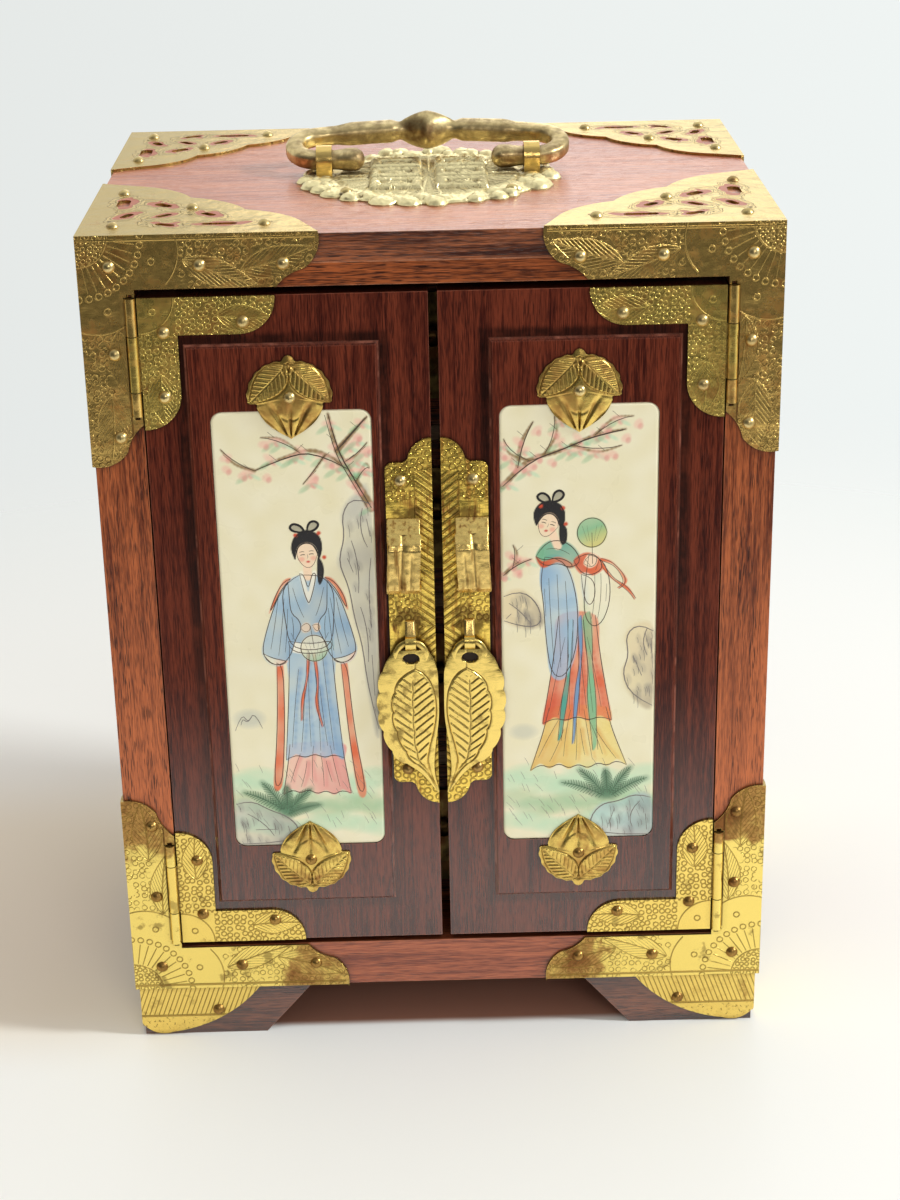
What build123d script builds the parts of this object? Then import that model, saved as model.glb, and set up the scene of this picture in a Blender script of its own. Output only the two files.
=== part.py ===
# Small hardwood jewellery cabinet with brass mounts, two doors, four drawers and a carrying handle.
# Millimetres. X runs to the right, Y to the back and Z up. The origin lies on the floor,
# under the middle of the cabinet.
import os
from math import cos, radians, sin

from build123d import *

# Carcass boards
cabinet_width = 176.5
cabinet_depth = 131.5
cabinet_height = 217.5          # boards only, from the underside of the carcass to its top
top_thickness = 7.5
side_thickness = 9.0
back_thickness = 6.0
bottom_thickness = 8.0
stile_width = 13.25
frame_depth = 12.0              # front stiles and rails, front to back
bottom_rail_height = 13.5
top_rail_height = 6.0

# Bracket feet
foot_height = 16.0
foot_inset = 1.0
foot_board = 9.0
foot_reach_top = 49.0           # along the carcass, from the foot's corner
foot_reach_bottom = 35.0

# Doors
door_thickness = 8.0
door_side_gap = 0.4
door_head_gap = 2.0
door_sill_gap = 1.6
door_centre_gap = 2.4
door_stop_gap = 0.5             # from the back of a door to the drawer guides
field_proud = 1.0
field_outer_margin = 11.0       # from the door's hinge edge to the raised field
field_inner_margin = 12.8
field_end_margin = 12.5
plaque_width = 41.3
plaque_height = 126.0
plaque_thickness = 2.2
plaque_corner = 3.0
plaque_inner_margin = 15.3      # from the door's centre edge to the plaque
plaque_fit = 0.1

# Brass sheet mounts
sheet = 0.75
arm_reach_front = 60.0          # corner mounts on the front face and the top's front edge
arm_reach_side = 60.0
arm_reach_back = 53.0
arm_reach_up = 60.0
arm_slope = 11.0                # how much shorter an arm is at its inner edge
leaf_arm_reach = 34.8           # hinge leaves on the doors
leaf_arm_width = 9.8
leaf_arm_round = 9.0
scallops = 5                    # along the slanting edge of a top corner mount
scallop_bulge = 2.4
foot_mount_reach = 34.0
foot_mount_drop = 15.0

# Dome-headed nails
nail_head = 3.3
nail_dome = 1.15
nail_shank = 1.2
nail_bite = 4.5                 # length of shank in the wood
shank_fit = 0.05

# Door hinges
barrel_length = 31.0
barrel_radius = 1.4
door_knuckle_length = 14.5
door_knuckle_start = 10.0       # from the barrel's end nearest the cabinet's corner
knuckle_gap = 0.25
hinge_offset = 1.3              # axis outboard of the opening's edge
hinge_proud = 0.6               # axis in front of the carcass
pin_radius = 0.65
pin_fit = 0.05
barrel_room = 0.25

# Lock plate halves, lock staples and leaf pulls on the doors
lock_plate_width = 12.2         # one half, from the door's edge
lock_plate_height = 105.8
lock_plate_centre = 110.4       # above the underside of the carcass
lock_lobe_width = 6.2
lock_lobe_height = 6.6
staple_width = 8.8
staple_height = 19.5
staple_depth = 6.8
staple_strip = 1.1
staple_centre = 131.8           # above the underside of the carcass
pull_centre = 106.5             # pivot of the leaf pulls above the underside of the carcass
pull_offset = 7.9               # pivot of the leaf pulls from the cabinet's centre line
pull_length = 45.0
pull_thickness = 1.0
pull_hole = 3.1
pull_ring = 1.8
loop_width = 2.8
loop_strip = 0.8
loop_room = 0.35
tang_depth = 2.0                # how far strap ends run into the wood

# Peach-shaped clips that hold the plaques
clip_half_width = 10.8
clip_rise = 10.6                # above the nail
clip_drop = 11.4                # below the nail
clip_thickness = 1.4
clip_reach = 4.0                # from the plaque's end to the nail

# Carrying handle on the top
handle_bar_width = 5.2          # in the plane of the bail
handle_bar_thickness = 4.6
handle_bar_round = 1.5
handle_height = 17.2
handle_strap_offset = 28.5
handle_end_offset = 19.5
handle_bend_offset = 29.7
handle_rest_angle = 15.0        # above the top
handle_strap_width = 4.3
handle_strap = 0.9
handle_room = 0.24
bead_half_width = 7.6
bead_half_length = 6.2
bead_half_thickness = 6.3
top_plate_radius = 37.0
top_plate_thickness = 1.6
top_plate_lobes = 16
top_plate_lobe_depth = 1.6
top_plate_setback = -4.0        # of the plate's centre, towards the front
fret_height = 0.9
fret_size = 10.0
fret_bar = 2.6
fret_pitch = 14.0

# Drawers
drawer_count = 4
guide_width = 9.7               # from the opening's edge to the drawers' sides
drawer_gap = 0.3
drawer_setback = 13.5           # from the back of the doors to the drawer fronts
drawer_front = 8.0
drawer_wall = 4.0
drawer_floor = 3.0
drawer_wall_drop = 6.0          # tray walls below the top of the drawer front
drawer_tail_gap = 2.0
shelf_thickness = 4.0
drawer_plate_width = 24.0
drawer_plate_height = 29.0
drawer_pull_length = 12.0
drawer_pull_hole = 1.7
drawer_pull_ring = 1.1
drawer_pull_thickness = 0.8
drawer_loop_width = 1.6
drawer_loop_strip = 0.6

# Faces and edges that several pieces share
half_width = cabinet_width / 2
half_depth = cabinet_depth / 2
base = foot_height
crown = foot_height + cabinet_height
opening_half = half_width - stile_width
sill = base + bottom_rail_height
head = crown - top_thickness - top_rail_height
door_outer = opening_half - door_side_gap
door_inner = door_centre_gap / 2
door_bottom = sill + door_sill_gap
door_top = head - door_head_gap
door_face = -half_depth
door_back = door_face + door_thickness
field_face = door_face - field_proud
drawer_face = door_back + drawer_setback
back_face = half_depth - back_thickness
guide_inner = opening_half - guide_width
hinge_x = opening_half + hinge_offset
hinge_y = -half_depth - hinge_proud
front = Plane.XZ
parts = {}
nails = {"carcass": [], "door": []}


def tile(x0, x1, y0, y1, z0, z1):
    """A board between two corners."""
    size = (x1 - x0, y1 - y0, z1 - z0)
    return Pos((x0 + x1) / 2, (y0 + y1) / 2, (z0 + z1) / 2) * Box(*size)


def sheet_from(edges, plane, thickness):
    """A flat piece with the given outline, raised from the plane along its normal."""
    return extrude(plane * make_face(Curve() + edges), thickness)


def other_side(piece):
    return mirror(piece, Plane.YZ)


def group(pieces):
    """Several separate solids of one kind under one name."""
    return Compound([solid for piece in pieces for solid in piece.solids()])


# Nails

def shank(position, direction, radius, depth):
    """A plain pin that runs against the direction from the position."""
    plane = Plane(origin=position, z_dir=tuple(-c for c in direction))
    return extrude(plane * Circle(radius), depth)


def nail(position, direction):
    """A dome-headed nail whose head sits at the position."""
    radius = nail_head / 2
    sphere = (radius**2 + nail_dome**2) / (2 * nail_dome)
    plane = Plane(origin=position, z_dir=direction)
    cap = plane.offset(nail_dome - sphere) * Sphere(sphere)
    keep = extrude(plane * Circle(nail_head), 2 * nail_dome)
    return (cap & keep) + shank(position, direction, nail_shank / 2, sheet + nail_bite)


def drill(piece, places):
    """The piece with a hole for each nail that reaches it."""
    box = piece.bounding_box()
    tools = []
    for position, direction in places:
        hole = shank(position, direction, nail_shank / 2 + shank_fit, clip_thickness + nail_bite)
        other = hole.bounding_box()
        apart = (other.min.X > box.max.X or other.max.X < box.min.X
                 or other.min.Y > box.max.Y or other.max.Y < box.min.Y
                 or other.min.Z > box.max.Z or other.max.Z < box.min.Z)
        if not apart:
            tools.append(hole)
    return piece - tools if tools else piece


# Sheet brass outlines, drawn from the cabinet's corner inwards

def arm_end(reach, width, start):
    """Points of an arm's ogee end, from its outer edge to its inner edge."""
    return [(reach, start), (reach - 0.04 * arm_slope, 0.34 * width),
            (reach - 0.35 * arm_slope, 0.66 * width),
            (reach - 0.73 * arm_slope, 0.79 * width), (reach - arm_slope, width)]


def angle_mount(plane, reach_along, reach_up, width, extra):
    """An L-shaped mount with ogee ends. Extra is how far it runs past the corner."""
    a, b, c, d, e = arm_end(reach_along, width, -extra)
    v, w, x, y, z = [(q, p) for p, q in arm_end(reach_up, width, -extra)]
    edges = [Line((-extra, -extra), a), ThreePointArc(a, b, c), ThreePointArc(c, d, e),
             Line(e, (width, width)), Line((width, width), z),
             ThreePointArc(z, y, x), ThreePointArc(x, w, v), Line(v, (-extra, -extra))]
    return sheet_from(edges, plane, sheet)


def hinge_leaf_outline(reach, width, end_round):
    """An L-shaped leaf with rounded ends, from the door's outer corner inwards."""
    turn = 1 - cos(radians(45))
    bend = (reach - turn * end_round, (1 - turn) * width)
    return [Line((0, 0), (reach, 0)), ThreePointArc((reach, 0), bend, (reach - end_round, width)),
            Line((reach - end_round, width), (width, width)),
            Line((width, width), (width, reach - end_round)),
            ThreePointArc((width, reach - end_round), bend[::-1], (0, reach)),
            Line((0, reach), (0, 0))]


def top_web(reach_x, reach_y):
    """The pierced triangle that a top corner mount lays over the top board."""
    ends = [(reach_x, -sheet), (0.93 * reach_x, 0.16 * reach_y)]
    last = [(0.16 * reach_x, 0.93 * reach_y), (-sheet, reach_y)]
    steps = scallops - 2
    stops = [ends[1]]
    for i in range(1, steps):
        share = i / steps
        stops.append((ends[1][0] + share * (last[0][0] - ends[1][0]),
                      ends[1][1] + share * (last[0][1] - ends[1][1])))
    stops.append(last[0])
    edges = [Line((-sheet, -sheet), ends[0]), Line(ends[0], ends[1])]
    for a, b in zip(stops, stops[1:]):
        middle = ((a[0] + b[0]) / 2 + scallop_bulge * 0.7, (a[1] + b[1]) / 2 + scallop_bulge * 0.7)
        edges.append(ThreePointArc(a, middle, b))
    edges += [Line(last[0], last[1]), Line(last[1], (-sheet, -sheet))]
    web = sheet_from(edges, Plane.XY, sheet)
    slots = [(0.58, 0.16, 9.0, 2.2, 0), (0.35, 0.16, 5.4, 2.2, -25), (0.17, 0.34, 5.0, 2.2, 65),
             (0.13, 0.58, 8.5, 3.4, 90), (0.52, 0.34, 4.8, 2.2, -45), (0.31, 0.53, 5.6, 2.8, -45),
             (0.33, 0.33, 4.8, 2.0, 45)]
    cuts = [Pos(u * reach_x, v * reach_y, sheet / 2) * Rot(0, 0, turn)
            * extrude(SlotOverall(length, width), sheet, both=True) for u, v, length, width, turn in slots]
    return web - cuts


def face_nails(reach_along, reach_up, inset):
    """Nail places on an L-shaped mount, from the cabinet's corner."""
    return [(inset, inset), (0.5 * reach_along, inset), (0.85 * reach_along, inset),
            (inset, 0.5 * reach_up), (inset, 0.87 * reach_up)]


# Corner mounts: each is drawn at a top left front corner and then mirrored into place

def corner_mount(reach_x, reach_y, has_web):
    """The brass over one corner, and its nails as (position, outward direction)."""
    width = stile_width
    face = Plane(origin=(0, 0, 0), x_dir=(1, 0, 0), z_dir=(0, -1, 0))
    side = Plane(origin=(0, 0, 0), x_dir=(0, 1, 0), z_dir=(-1, 0, 0))
    brass = mirror(angle_mount(face, reach_x, arm_reach_up, width, sheet), Plane.XY)
    flank = angle_mount(side, reach_y, arm_reach_up, width, sheet)
    if flank.bounding_box().max.Z > arm_reach_up / 2:
        flank = mirror(flank, Plane.XY)
    brass += flank
    inset = 0.55 * width
    places = [((u, -sheet, -v), (0, -1, 0)) for u, v in face_nails(reach_x, arm_reach_up, inset)]
    places += [((-sheet, u, -v), (-1, 0, 0)) for u, v in face_nails(reach_y, arm_reach_up, inset * 1.25)]
    if has_web:
        brass += top_web(reach_x, reach_y)
        spots = [(0.13, 0.15), (0.77, 0.15), (0.11, 0.78), (0.44, 0.48)]
        places += [((u * reach_x, v * reach_y, sheet), (0, 0, 1)) for u, v in spots]
    return brass, places


def reflect(vector, flips):
    return tuple(c * f for c, f in zip(vector, flips))


def seat_corner(name, sx, sy, top):
    """Mirrors a corner mount to its own corner and keeps it under its name."""
    reach_x = arm_reach_front if sy < 0 else arm_reach_back
    brass, places = corner_mount(reach_x, arm_reach_side if sy < 0 else arm_reach_back, top)
    flips = (-sx, -sy, 1 if top else -1)
    corner = (sx * half_width, sy * half_depth, crown if top else base)
    if not top:
        brass -= tile(-2 * sheet, reach_x, -2 * sheet, arm_reach_side, 0, 2 * sheet)
    for flip, plane in zip(flips, (Plane.YZ, Plane.XZ, Plane.XY)):
        if flip < 0:
            brass = mirror(brass, plane)
    brass = Pos(*corner) * brass
    seated = []
    for position, direction in places:
        at = tuple(c + p for c, p in zip(corner, reflect(position, flips)))
        seated.append((at, reflect(direction, flips)))
    nails["carcass"] += seated
    parts[name] = brass


def barrel_span(top):
    """Lowest and highest point of a hinge barrel and of the door's knuckle in it."""
    if top:
        ends = (door_top - barrel_length, door_top)
        knuckle = (door_top - door_knuckle_start - door_knuckle_length, door_top - door_knuckle_start)
    else:
        ends = (door_bottom, door_bottom + barrel_length)
        knuckle = (door_bottom + door_knuckle_start, door_bottom + door_knuckle_start + door_knuckle_length)
    return ends, knuckle


def rod(radius, low, high):
    """An upright rod on the right-hand hinge axis."""
    return Pos(hinge_x, hinge_y, (low + high) / 2) * Cylinder(radius, high - low)


def hang_carcass_knuckles(mount, sx, top):
    """Rolls the hinge's outer knuckles from a front corner mount."""
    (low, high), (knuckle_low, knuckle_high) = barrel_span(top)
    room = barrel_radius + barrel_room
    notch = tile(opening_half - 1, hinge_x + room, hinge_y - barrel_radius, -half_depth, low - knuckle_gap,
                 high + knuckle_gap)
    piece = mount if sx > 0 else other_side(mount)
    piece -= notch
    for start, stop in ((low, knuckle_low - knuckle_gap), (knuckle_high + knuckle_gap, high)):
        strip = tile(hinge_x, hinge_x + room + 0.5, -half_depth - sheet, -half_depth, start, stop)
        piece += strip + rod(barrel_radius, start, stop)
    piece -= rod(pin_radius + pin_fit, low - 1, high + 1)
    return piece if sx > 0 else other_side(piece)


for sx, side_name in ((-1, "left"), (1, "right")):
    for sy, end_name in ((-1, "front"), (1, "back")):
        for top, level in ((True, "top"), (False, "bottom")):
            node = f"corner_{level}_{end_name}_{side_name}"
            seat_corner(node, sx, sy, top)
            if sy < 0:
                parts[node] = hang_carcass_knuckles(parts[node], sx, top)

pins = []
for top in (True, False):
    (low, high), knuckle = barrel_span(top)
    pins += [rod(pin_radius, low, high), other_side(rod(pin_radius, low, high))]
parts["hinge_pins"] = group(pins)


# Carcass

def barrel_groove(piece):
    """Cuts the hollows that the hinge barrels turn in."""
    for top in (True, False):
        (low, high), knuckle = barrel_span(top)
        groove = rod(barrel_radius + barrel_room, low - knuckle_gap, high + knuckle_gap)
        piece = piece - groove - other_side(groove)
    return piece


frame_back = -half_depth + frame_depth
side_inner = half_width - side_thickness
under_top = crown - top_thickness
floor_low = sill - bottom_thickness
parts["top_board"] = tile(-half_width, half_width, -half_depth, half_depth, under_top, crown)
stile = barrel_groove(tile(opening_half, half_width, -half_depth, frame_back, base, under_top))
parts["front_stiles"] = group([stile, other_side(stile)])
parts["front_rail_top"] = tile(-opening_half, opening_half, -half_depth, frame_back, head, under_top)
parts["front_rail_bottom"] = tile(-opening_half, opening_half, -half_depth, frame_back, base, sill)
side = tile(side_inner, half_width, frame_back, half_depth, base, under_top)
parts["side_panel_right"] = side
parts["side_panel_left"] = other_side(side)
parts["back_panel"] = tile(-side_inner, side_inner, back_face, half_depth, base, under_top)
parts["bottom_board"] = tile(-side_inner, side_inner, frame_back, back_face, floor_low, sill)
guide_front = door_back + door_stop_gap
guide = tile(guide_inner, opening_half, guide_front, back_face, sill, head)
guide += tile(opening_half, side_inner, frame_back, back_face, sill, head)
parts["drawer_guides"] = group([guide, other_side(guide)])

bay_height = (head - sill - (drawer_count - 1) * shelf_thickness) / drawer_count
bay_floors = [sill + i * (bay_height + shelf_thickness) for i in range(drawer_count)]
shelves = [tile(-guide_inner, guide_inner, drawer_face, back_face, low - shelf_thickness, low)
           for low in bay_floors[1:]]
parts["drawer_shelves"] = group(shelves)


# Bracket feet: a front board and a side board in one block, drawn at the right front corner

def foot_outline(corner, direction):
    """A bracket foot's face, from its corner towards the middle of the cabinet."""
    reach = [(corner, 0), (corner, base), (corner + direction * foot_reach_top, base),
             (corner + direction * foot_reach_bottom, 0)]
    return [Line(a, b) for a, b in zip(reach, reach[1:] + reach[:1])]


foot_x = half_width - foot_inset
foot_y = -half_depth + foot_inset
face_board = sheet_from(foot_outline(foot_x, -1), front.offset(-foot_y), -foot_board)
flank_plane = Plane(origin=(foot_x, 0, 0), x_dir=(0, 1, 0), z_dir=(1, 0, 0))
flank_board = sheet_from(foot_outline(foot_y, 1), flank_plane, -foot_board)
foot = face_board + flank_board


def foot_leaf(corner, direction, plane):
    """The leaf-shaped mount on one face of a foot."""
    reach = foot_mount_reach
    low = base - foot_mount_drop
    points = [(corner - direction * sheet, base), (corner + direction * reach, base),
              (corner + direction * 0.72 * reach, base - 0.6 * foot_mount_drop),
              (corner + direction * 0.24 * reach, low),
              (corner + direction * 0.06 * reach, base - 0.97 * foot_mount_drop),
              (corner - direction * sheet, base - 0.78 * foot_mount_drop)]
    a, b, c, d, e, f = points
    edges = [Line(a, b), ThreePointArc(b, c, d), ThreePointArc(d, e, f), Line(f, a)]
    return sheet_from(edges, plane, sheet)


foot_brass = foot_leaf(foot_x, -1, front.offset(-foot_y)) + foot_leaf(foot_y, 1, flank_plane)
foot_nails = [((foot_x - 0.63 * foot_mount_reach, foot_y - sheet, base - 0.52 * foot_mount_drop), (0, -1, 0)),
              ((foot_x + sheet, foot_y + 0.63 * foot_mount_reach, base - 0.52 * foot_mount_drop), (1, 0, 0))]
foot_leaves = []
for sy, end_name in ((-1, "front"), (1, "back")):
    blocks = [foot, other_side(foot)]
    brasses = [foot_brass, other_side(foot_brass)]
    if sy > 0:
        blocks = [mirror(block, Plane.XZ) for block in blocks]
        brasses = [mirror(brass, Plane.XZ) for brass in brasses]
    for sx in (1, -1):
        flips = (sx, -sy, 1)
        nails["carcass"] += [(reflect(p, flips), reflect(d, flips)) for p, d in foot_nails]
    parts[f"feet_{end_name}"] = group(blocks)
    foot_leaves += brasses
parts["foot_mounts"] = group(foot_leaves)


# Straps that loop over a pivot, with tangs through the plate behind them

def strap_loop(width, strip, inner, stand_off, depth):
    """A strap loop about the X axis, open towards +Y, where it meets its plate."""
    reach = stand_off + depth
    outer = inner + strip
    shape = Circle(outer) + Pos(reach / 2, 0) * Rectangle(reach, 2 * outer)
    shape -= Circle(inner) + Pos(reach / 2, 0) * Rectangle(reach, 2 * inner)
    across = Plane(origin=(-width / 2, 0, 0), x_dir=(0, 1, 0), z_dir=(1, 0, 0))
    loop = extrude(across * shape, width)
    slots = []
    for side in (-1, 1):
        low, high = sorted((side * inner, side * outer))
        slots.append(tile(-width / 2 - shank_fit, width / 2 + shank_fit, 0, reach + shank_fit,
                          low - shank_fit, high + shank_fit))
    return loop, slots


def hanging_leaf(length, hole, ring, thickness):
    """A leaf pull on its ring. The pivot is at the origin, and the tip leans to -X."""
    def spot(x, y):
        return (x * length, y * length)

    stops = [spot(0.096, -0.144), spot(0.176, -0.233), spot(0.198, -0.367), spot(0.191, -0.507),
             spot(0.156, -0.640), spot(0.098, -0.756)]
    hips = [spot(-0.131, -0.689), spot(-0.156, -0.489), spot(-0.158, -0.289), spot(-0.096, -0.144)]
    tip = spot(-0.147, -1.0)
    edges = []
    for a, b in zip(stops, stops[1:]):
        out = (b[1] - a[1], a[0] - b[0])
        bulge = 0.02 * length / (out[0]**2 + out[1]**2)**0.5
        middle = ((a[0] + b[0]) / 2 - bulge * out[0], (a[1] + b[1]) / 2 - bulge * out[1])
        edges.append(ThreePointArc(a, middle, b))
    edges += [ThreePointArc(stops[-1], spot(-0.038, -0.867), tip), ThreePointArc(tip, spot(-0.124, -0.855), hips[0]),
              ThreePointArc(hips[0], hips[1], hips[2]), Line(hips[2], hips[3]), Line(hips[3], stops[0])]
    centre = -(hole + ring / 2)
    shape = make_face(Curve() + edges) + Pos(0, centre) * Circle(hole + ring)
    shape -= Pos(0, centre) * Circle(hole)
    return extrude(Plane.XZ.offset(-thickness / 2) * shape, thickness)


# Doors, drawn on the right-hand side

def bevelled_field():
    """The raised field on a door's face."""
    x0, x1 = door_inner + field_inner_margin, door_outer - field_outer_margin
    z0, z1 = door_bottom + field_end_margin, door_top - field_end_margin
    block = tile(x0, x1, field_face, door_face, z0, z1)
    return chamfer(block.faces().sort_by(Axis.Y)[0].edges(), field_proud * 0.9)


plaque_x = door_inner + plaque_inner_margin + plaque_width / 2
plaque_z = (door_bottom + door_top) / 2
plaque_shape = RectangleRounded(plaque_width, plaque_height, plaque_corner)
pocket_shape = RectangleRounded(plaque_width + 2 * plaque_fit, plaque_height + 2 * plaque_fit,
                                plaque_corner + plaque_fit)
plaque_plane = Plane(origin=(plaque_x, field_face, plaque_z), x_dir=(1, 0, 0), z_dir=(0, -1, 0))
plaque = extrude(plaque_plane * plaque_shape, -plaque_thickness)
pocket = extrude(plaque_plane * pocket_shape, -plaque_thickness)
panel = tile(door_inner, door_outer, door_face, door_back, door_bottom, door_top) + bevelled_field() - pocket


def peach_clip(z, up):
    """A peach-shaped clip round its nail. Its leaves point up or down."""
    w, r, d = clip_half_width, clip_rise, clip_drop
    right = [(0, r), (0.2 * w, 0.93 * r), (0.78 * w, 0.62 * r), (w, -0.12 * r), (0.81 * w, -0.17 * r),
             (0.6 * w, -0.64 * d), (0, -d)]
    half = [Line(right[0], right[1]), ThreePointArc(right[1], right[2], right[3]), Line(right[3], right[4]),
            ThreePointArc(right[4], right[5], right[6]), Line(right[6], right[0])]
    plane = Plane(origin=(plaque_x, field_face, z), x_dir=(1, 0, 0), z_dir=(0, -1, 0))
    face = make_face(Curve() + half)
    face += mirror(face, Plane.YZ)
    if not up:
        face = mirror(face, Plane.XZ)
    nails["door"].append(((plaque_x, field_face - clip_thickness, z), (0, -1, 0)))
    return extrude(plane * face, clip_thickness)


clip_rises = plaque_height / 2 + clip_reach
clips = [peach_clip(plaque_z + clip_rises, True), peach_clip(plaque_z - clip_rises, False)]


def door_leaf(top):
    """The door's half of a hinge: an L-shaped leaf with the middle knuckle."""
    (low, high), (knuckle_low, knuckle_high) = barrel_span(top)
    plane = Plane(origin=(door_outer, door_face, door_top if top else door_bottom), x_dir=(-1, 0, 0),
                  z_dir=(0, -1, 0))
    leaf = sheet_from(hinge_leaf_outline(leaf_arm_reach, leaf_arm_width, leaf_arm_round), plane, sheet)
    inward_z = leaf.bounding_box().center().Z - plane.origin.Z
    if (inward_z > 0) == top:
        leaf = mirror(leaf, Plane.XY.offset(plane.origin.Z))
    leaf += tile(door_outer - 1, hinge_x, door_face - sheet, door_face, knuckle_low, knuckle_high)
    leaf += rod(barrel_radius, knuckle_low, knuckle_high)
    return leaf - rod(pin_radius + pin_fit, low - 1, high + 1)


leaves = [door_leaf(True), door_leaf(False)]
for edge, inward in ((door_top, -1), (door_bottom, 1)):
    for u, v in ((0.76, 0.19), (0.18, 0.26), (0.16, 0.75)):
        spot = (door_outer - u * leaf_arm_reach, door_face - sheet, edge + inward * v * leaf_arm_reach)
        nails["door"].append((spot, (0, -1, 0)))

lock_z = base + lock_plate_centre
lock_top = lock_plate_height / 2
lock_face = door_face - sheet
w, lobe, drop = lock_plate_width, lock_lobe_width, lock_lobe_height
corner = 2.0
quarter = [(0, lock_top), (0.62 * lobe, lock_top - 0.22 * drop), (lobe, lock_top - 0.86 * drop),
           (lobe + 1.2, lock_top - drop), (w - corner, lock_top - drop),
           (w - 0.29 * corner, lock_top - drop - 0.29 * corner), (w, lock_top - drop - corner), (w, 0)]
upper = [ThreePointArc(*quarter[:3]), Line(quarter[2], quarter[3]), Line(quarter[3], quarter[4]),
         ThreePointArc(*quarter[4:7]), Line(quarter[6], quarter[7]), Line(quarter[7], (0, 0)),
         Line((0, 0), quarter[0])]
lock_plane = Plane(origin=(door_inner, door_face, lock_z), x_dir=(1, 0, 0), z_dir=(0, -1, 0))
lock_half = make_face(Curve() + upper)
lock_plate = extrude(lock_plane * (lock_half + mirror(lock_half, Plane.XZ)), sheet)
for rise in (0.39, -0.4):
    spot = (door_inner + 0.68 * lock_plate_width, lock_face, lock_z + rise * lock_plate_height)
    nails["door"].append((spot, (0, -1, 0)))

staple_z = base + staple_centre
staple_x = door_inner + lock_plate_width - staple_width / 2
outer = [(0, staple_height / 2), (-staple_depth, 0.18 * staple_height), (-staple_depth, -0.42 * staple_height),
         (-0.8 * staple_depth, -staple_height / 2), (0, -staple_height / 2)]
staple_face = make_face(Polyline(*outer, close=True))
hollow = Pos(staple_strip, 0) * offset(staple_face, -staple_strip)
hollow += Pos(-0.1 * staple_depth, -0.1 * staple_height) * Rectangle(
    0.4 * staple_depth, 0.8 * staple_height - 2 * staple_strip)
staple_plane = Plane(origin=(staple_x - staple_width / 2, lock_face, staple_z), x_dir=(0, 1, 0), z_dir=(1, 0, 0))
lock_staple = extrude(staple_plane * (staple_face - hollow), staple_width)

stand_off = pull_thickness / 2 + 1.0
loop, slots = strap_loop(loop_width, loop_strip, pull_ring / 2 + loop_room + 0.1, stand_off, sheet + tang_depth)
pull_at = Pos(pull_offset, lock_face - stand_off, base + pull_centre)
pull_loop = pull_at * loop
pull_slots = [pull_at * slot for slot in slots]
leaf_pull = pull_at * hanging_leaf(pull_length, pull_hole, pull_ring, pull_thickness)

panel = drill(panel - pull_slots, nails["door"])
lock_plate = drill(lock_plate - pull_slots, nails["door"])
clips = [drill(clip, nails["door"]) for clip in clips]
leaves = [drill(leaf, nails["door"]) for leaf in leaves]
studs = [nail(position, direction) for position, direction in nails["door"]]
door_pieces = {"door": panel, "plaque": plaque, "plaque_clips": group(clips),
               "hinge_leaves": group(leaves), "lock_plate": lock_plate, "lock_staple": lock_staple,
               "pull_loop": pull_loop, "door_nails": group(studs), "leaf_pull": leaf_pull}
for name, piece in door_pieces.items():
    parts[f"{name}_right"] = piece
    parts[f"{name}_left"] = other_side(piece)


# Carrying handle and its plate

plate_top = crown + top_plate_thickness


def lobed_plate():
    """The cast plate under the handle, with a lobed rim and raised fretwork."""
    centre = Pos(0, top_plate_setback)
    inner = top_plate_radius - top_plate_lobe_depth
    shape = centre * Circle(inner)
    step = 360 / top_plate_lobes
    bump = inner * sin(radians(step / 2)) + 0.4
    for i in range(top_plate_lobes):
        at = (i + 0.5) * step
        spot = Pos((top_plate_radius - bump) * cos(radians(at)), (top_plate_radius - bump) * sin(radians(at)))
        shape += centre * spot * Circle(bump)
    plate = extrude(Plane.XY.offset(crown) * shape, top_plate_thickness)
    raised = []
    for column in (-0.5, 0.5):
        for row in (-1, 0, 1):
            key = Rectangle(fret_size, fret_size) - Rectangle(fret_size - fret_bar, fret_size - fret_bar)
            key += Rectangle(0.4 * fret_size, 0.16 * fret_size)
            spot = Pos(column * fret_pitch, top_plate_setback + row * fret_pitch)
            raised.append(extrude(Plane.XY.offset(plate_top - 0.2) * spot * key, fret_height + 0.2))
    for block in raised:
        plate += block
    return plate


flat = (handle_bar_width / 2 - handle_bar_round, handle_bar_thickness / 2 - handle_bar_round)
handle_inner = (flat[0]**2 + flat[1]**2)**0.5 + handle_bar_round + handle_room
strap, strap_slots = strap_loop(handle_strap_width, handle_strap, handle_inner, handle_inner,
                                top_plate_thickness + tang_depth)
handle_z = plate_top + handle_inner
strap_places = [Pos(s * handle_strap_offset, 0, handle_z) * Rot(-90, 0, 0) for s in (-1, 1)]
strap_cuts = [place * slot for place in strap_places for slot in strap_slots]
parts["handle_straps"] = group([place * strap for place in strap_places])
plate_nails = []
for quarter_turn in range(4):
    at = radians(90 * quarter_turn + 45)
    spot = (0.84 * top_plate_radius * cos(at), top_plate_setback + 0.84 * top_plate_radius * sin(at), plate_top)
    plate_nails.append((spot, (0, 0, 1)))
nails["carcass"] += plate_nails
parts["handle_plate"] = lobed_plate() - strap_cuts
parts["top_board"] = parts["top_board"] - strap_cuts

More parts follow.
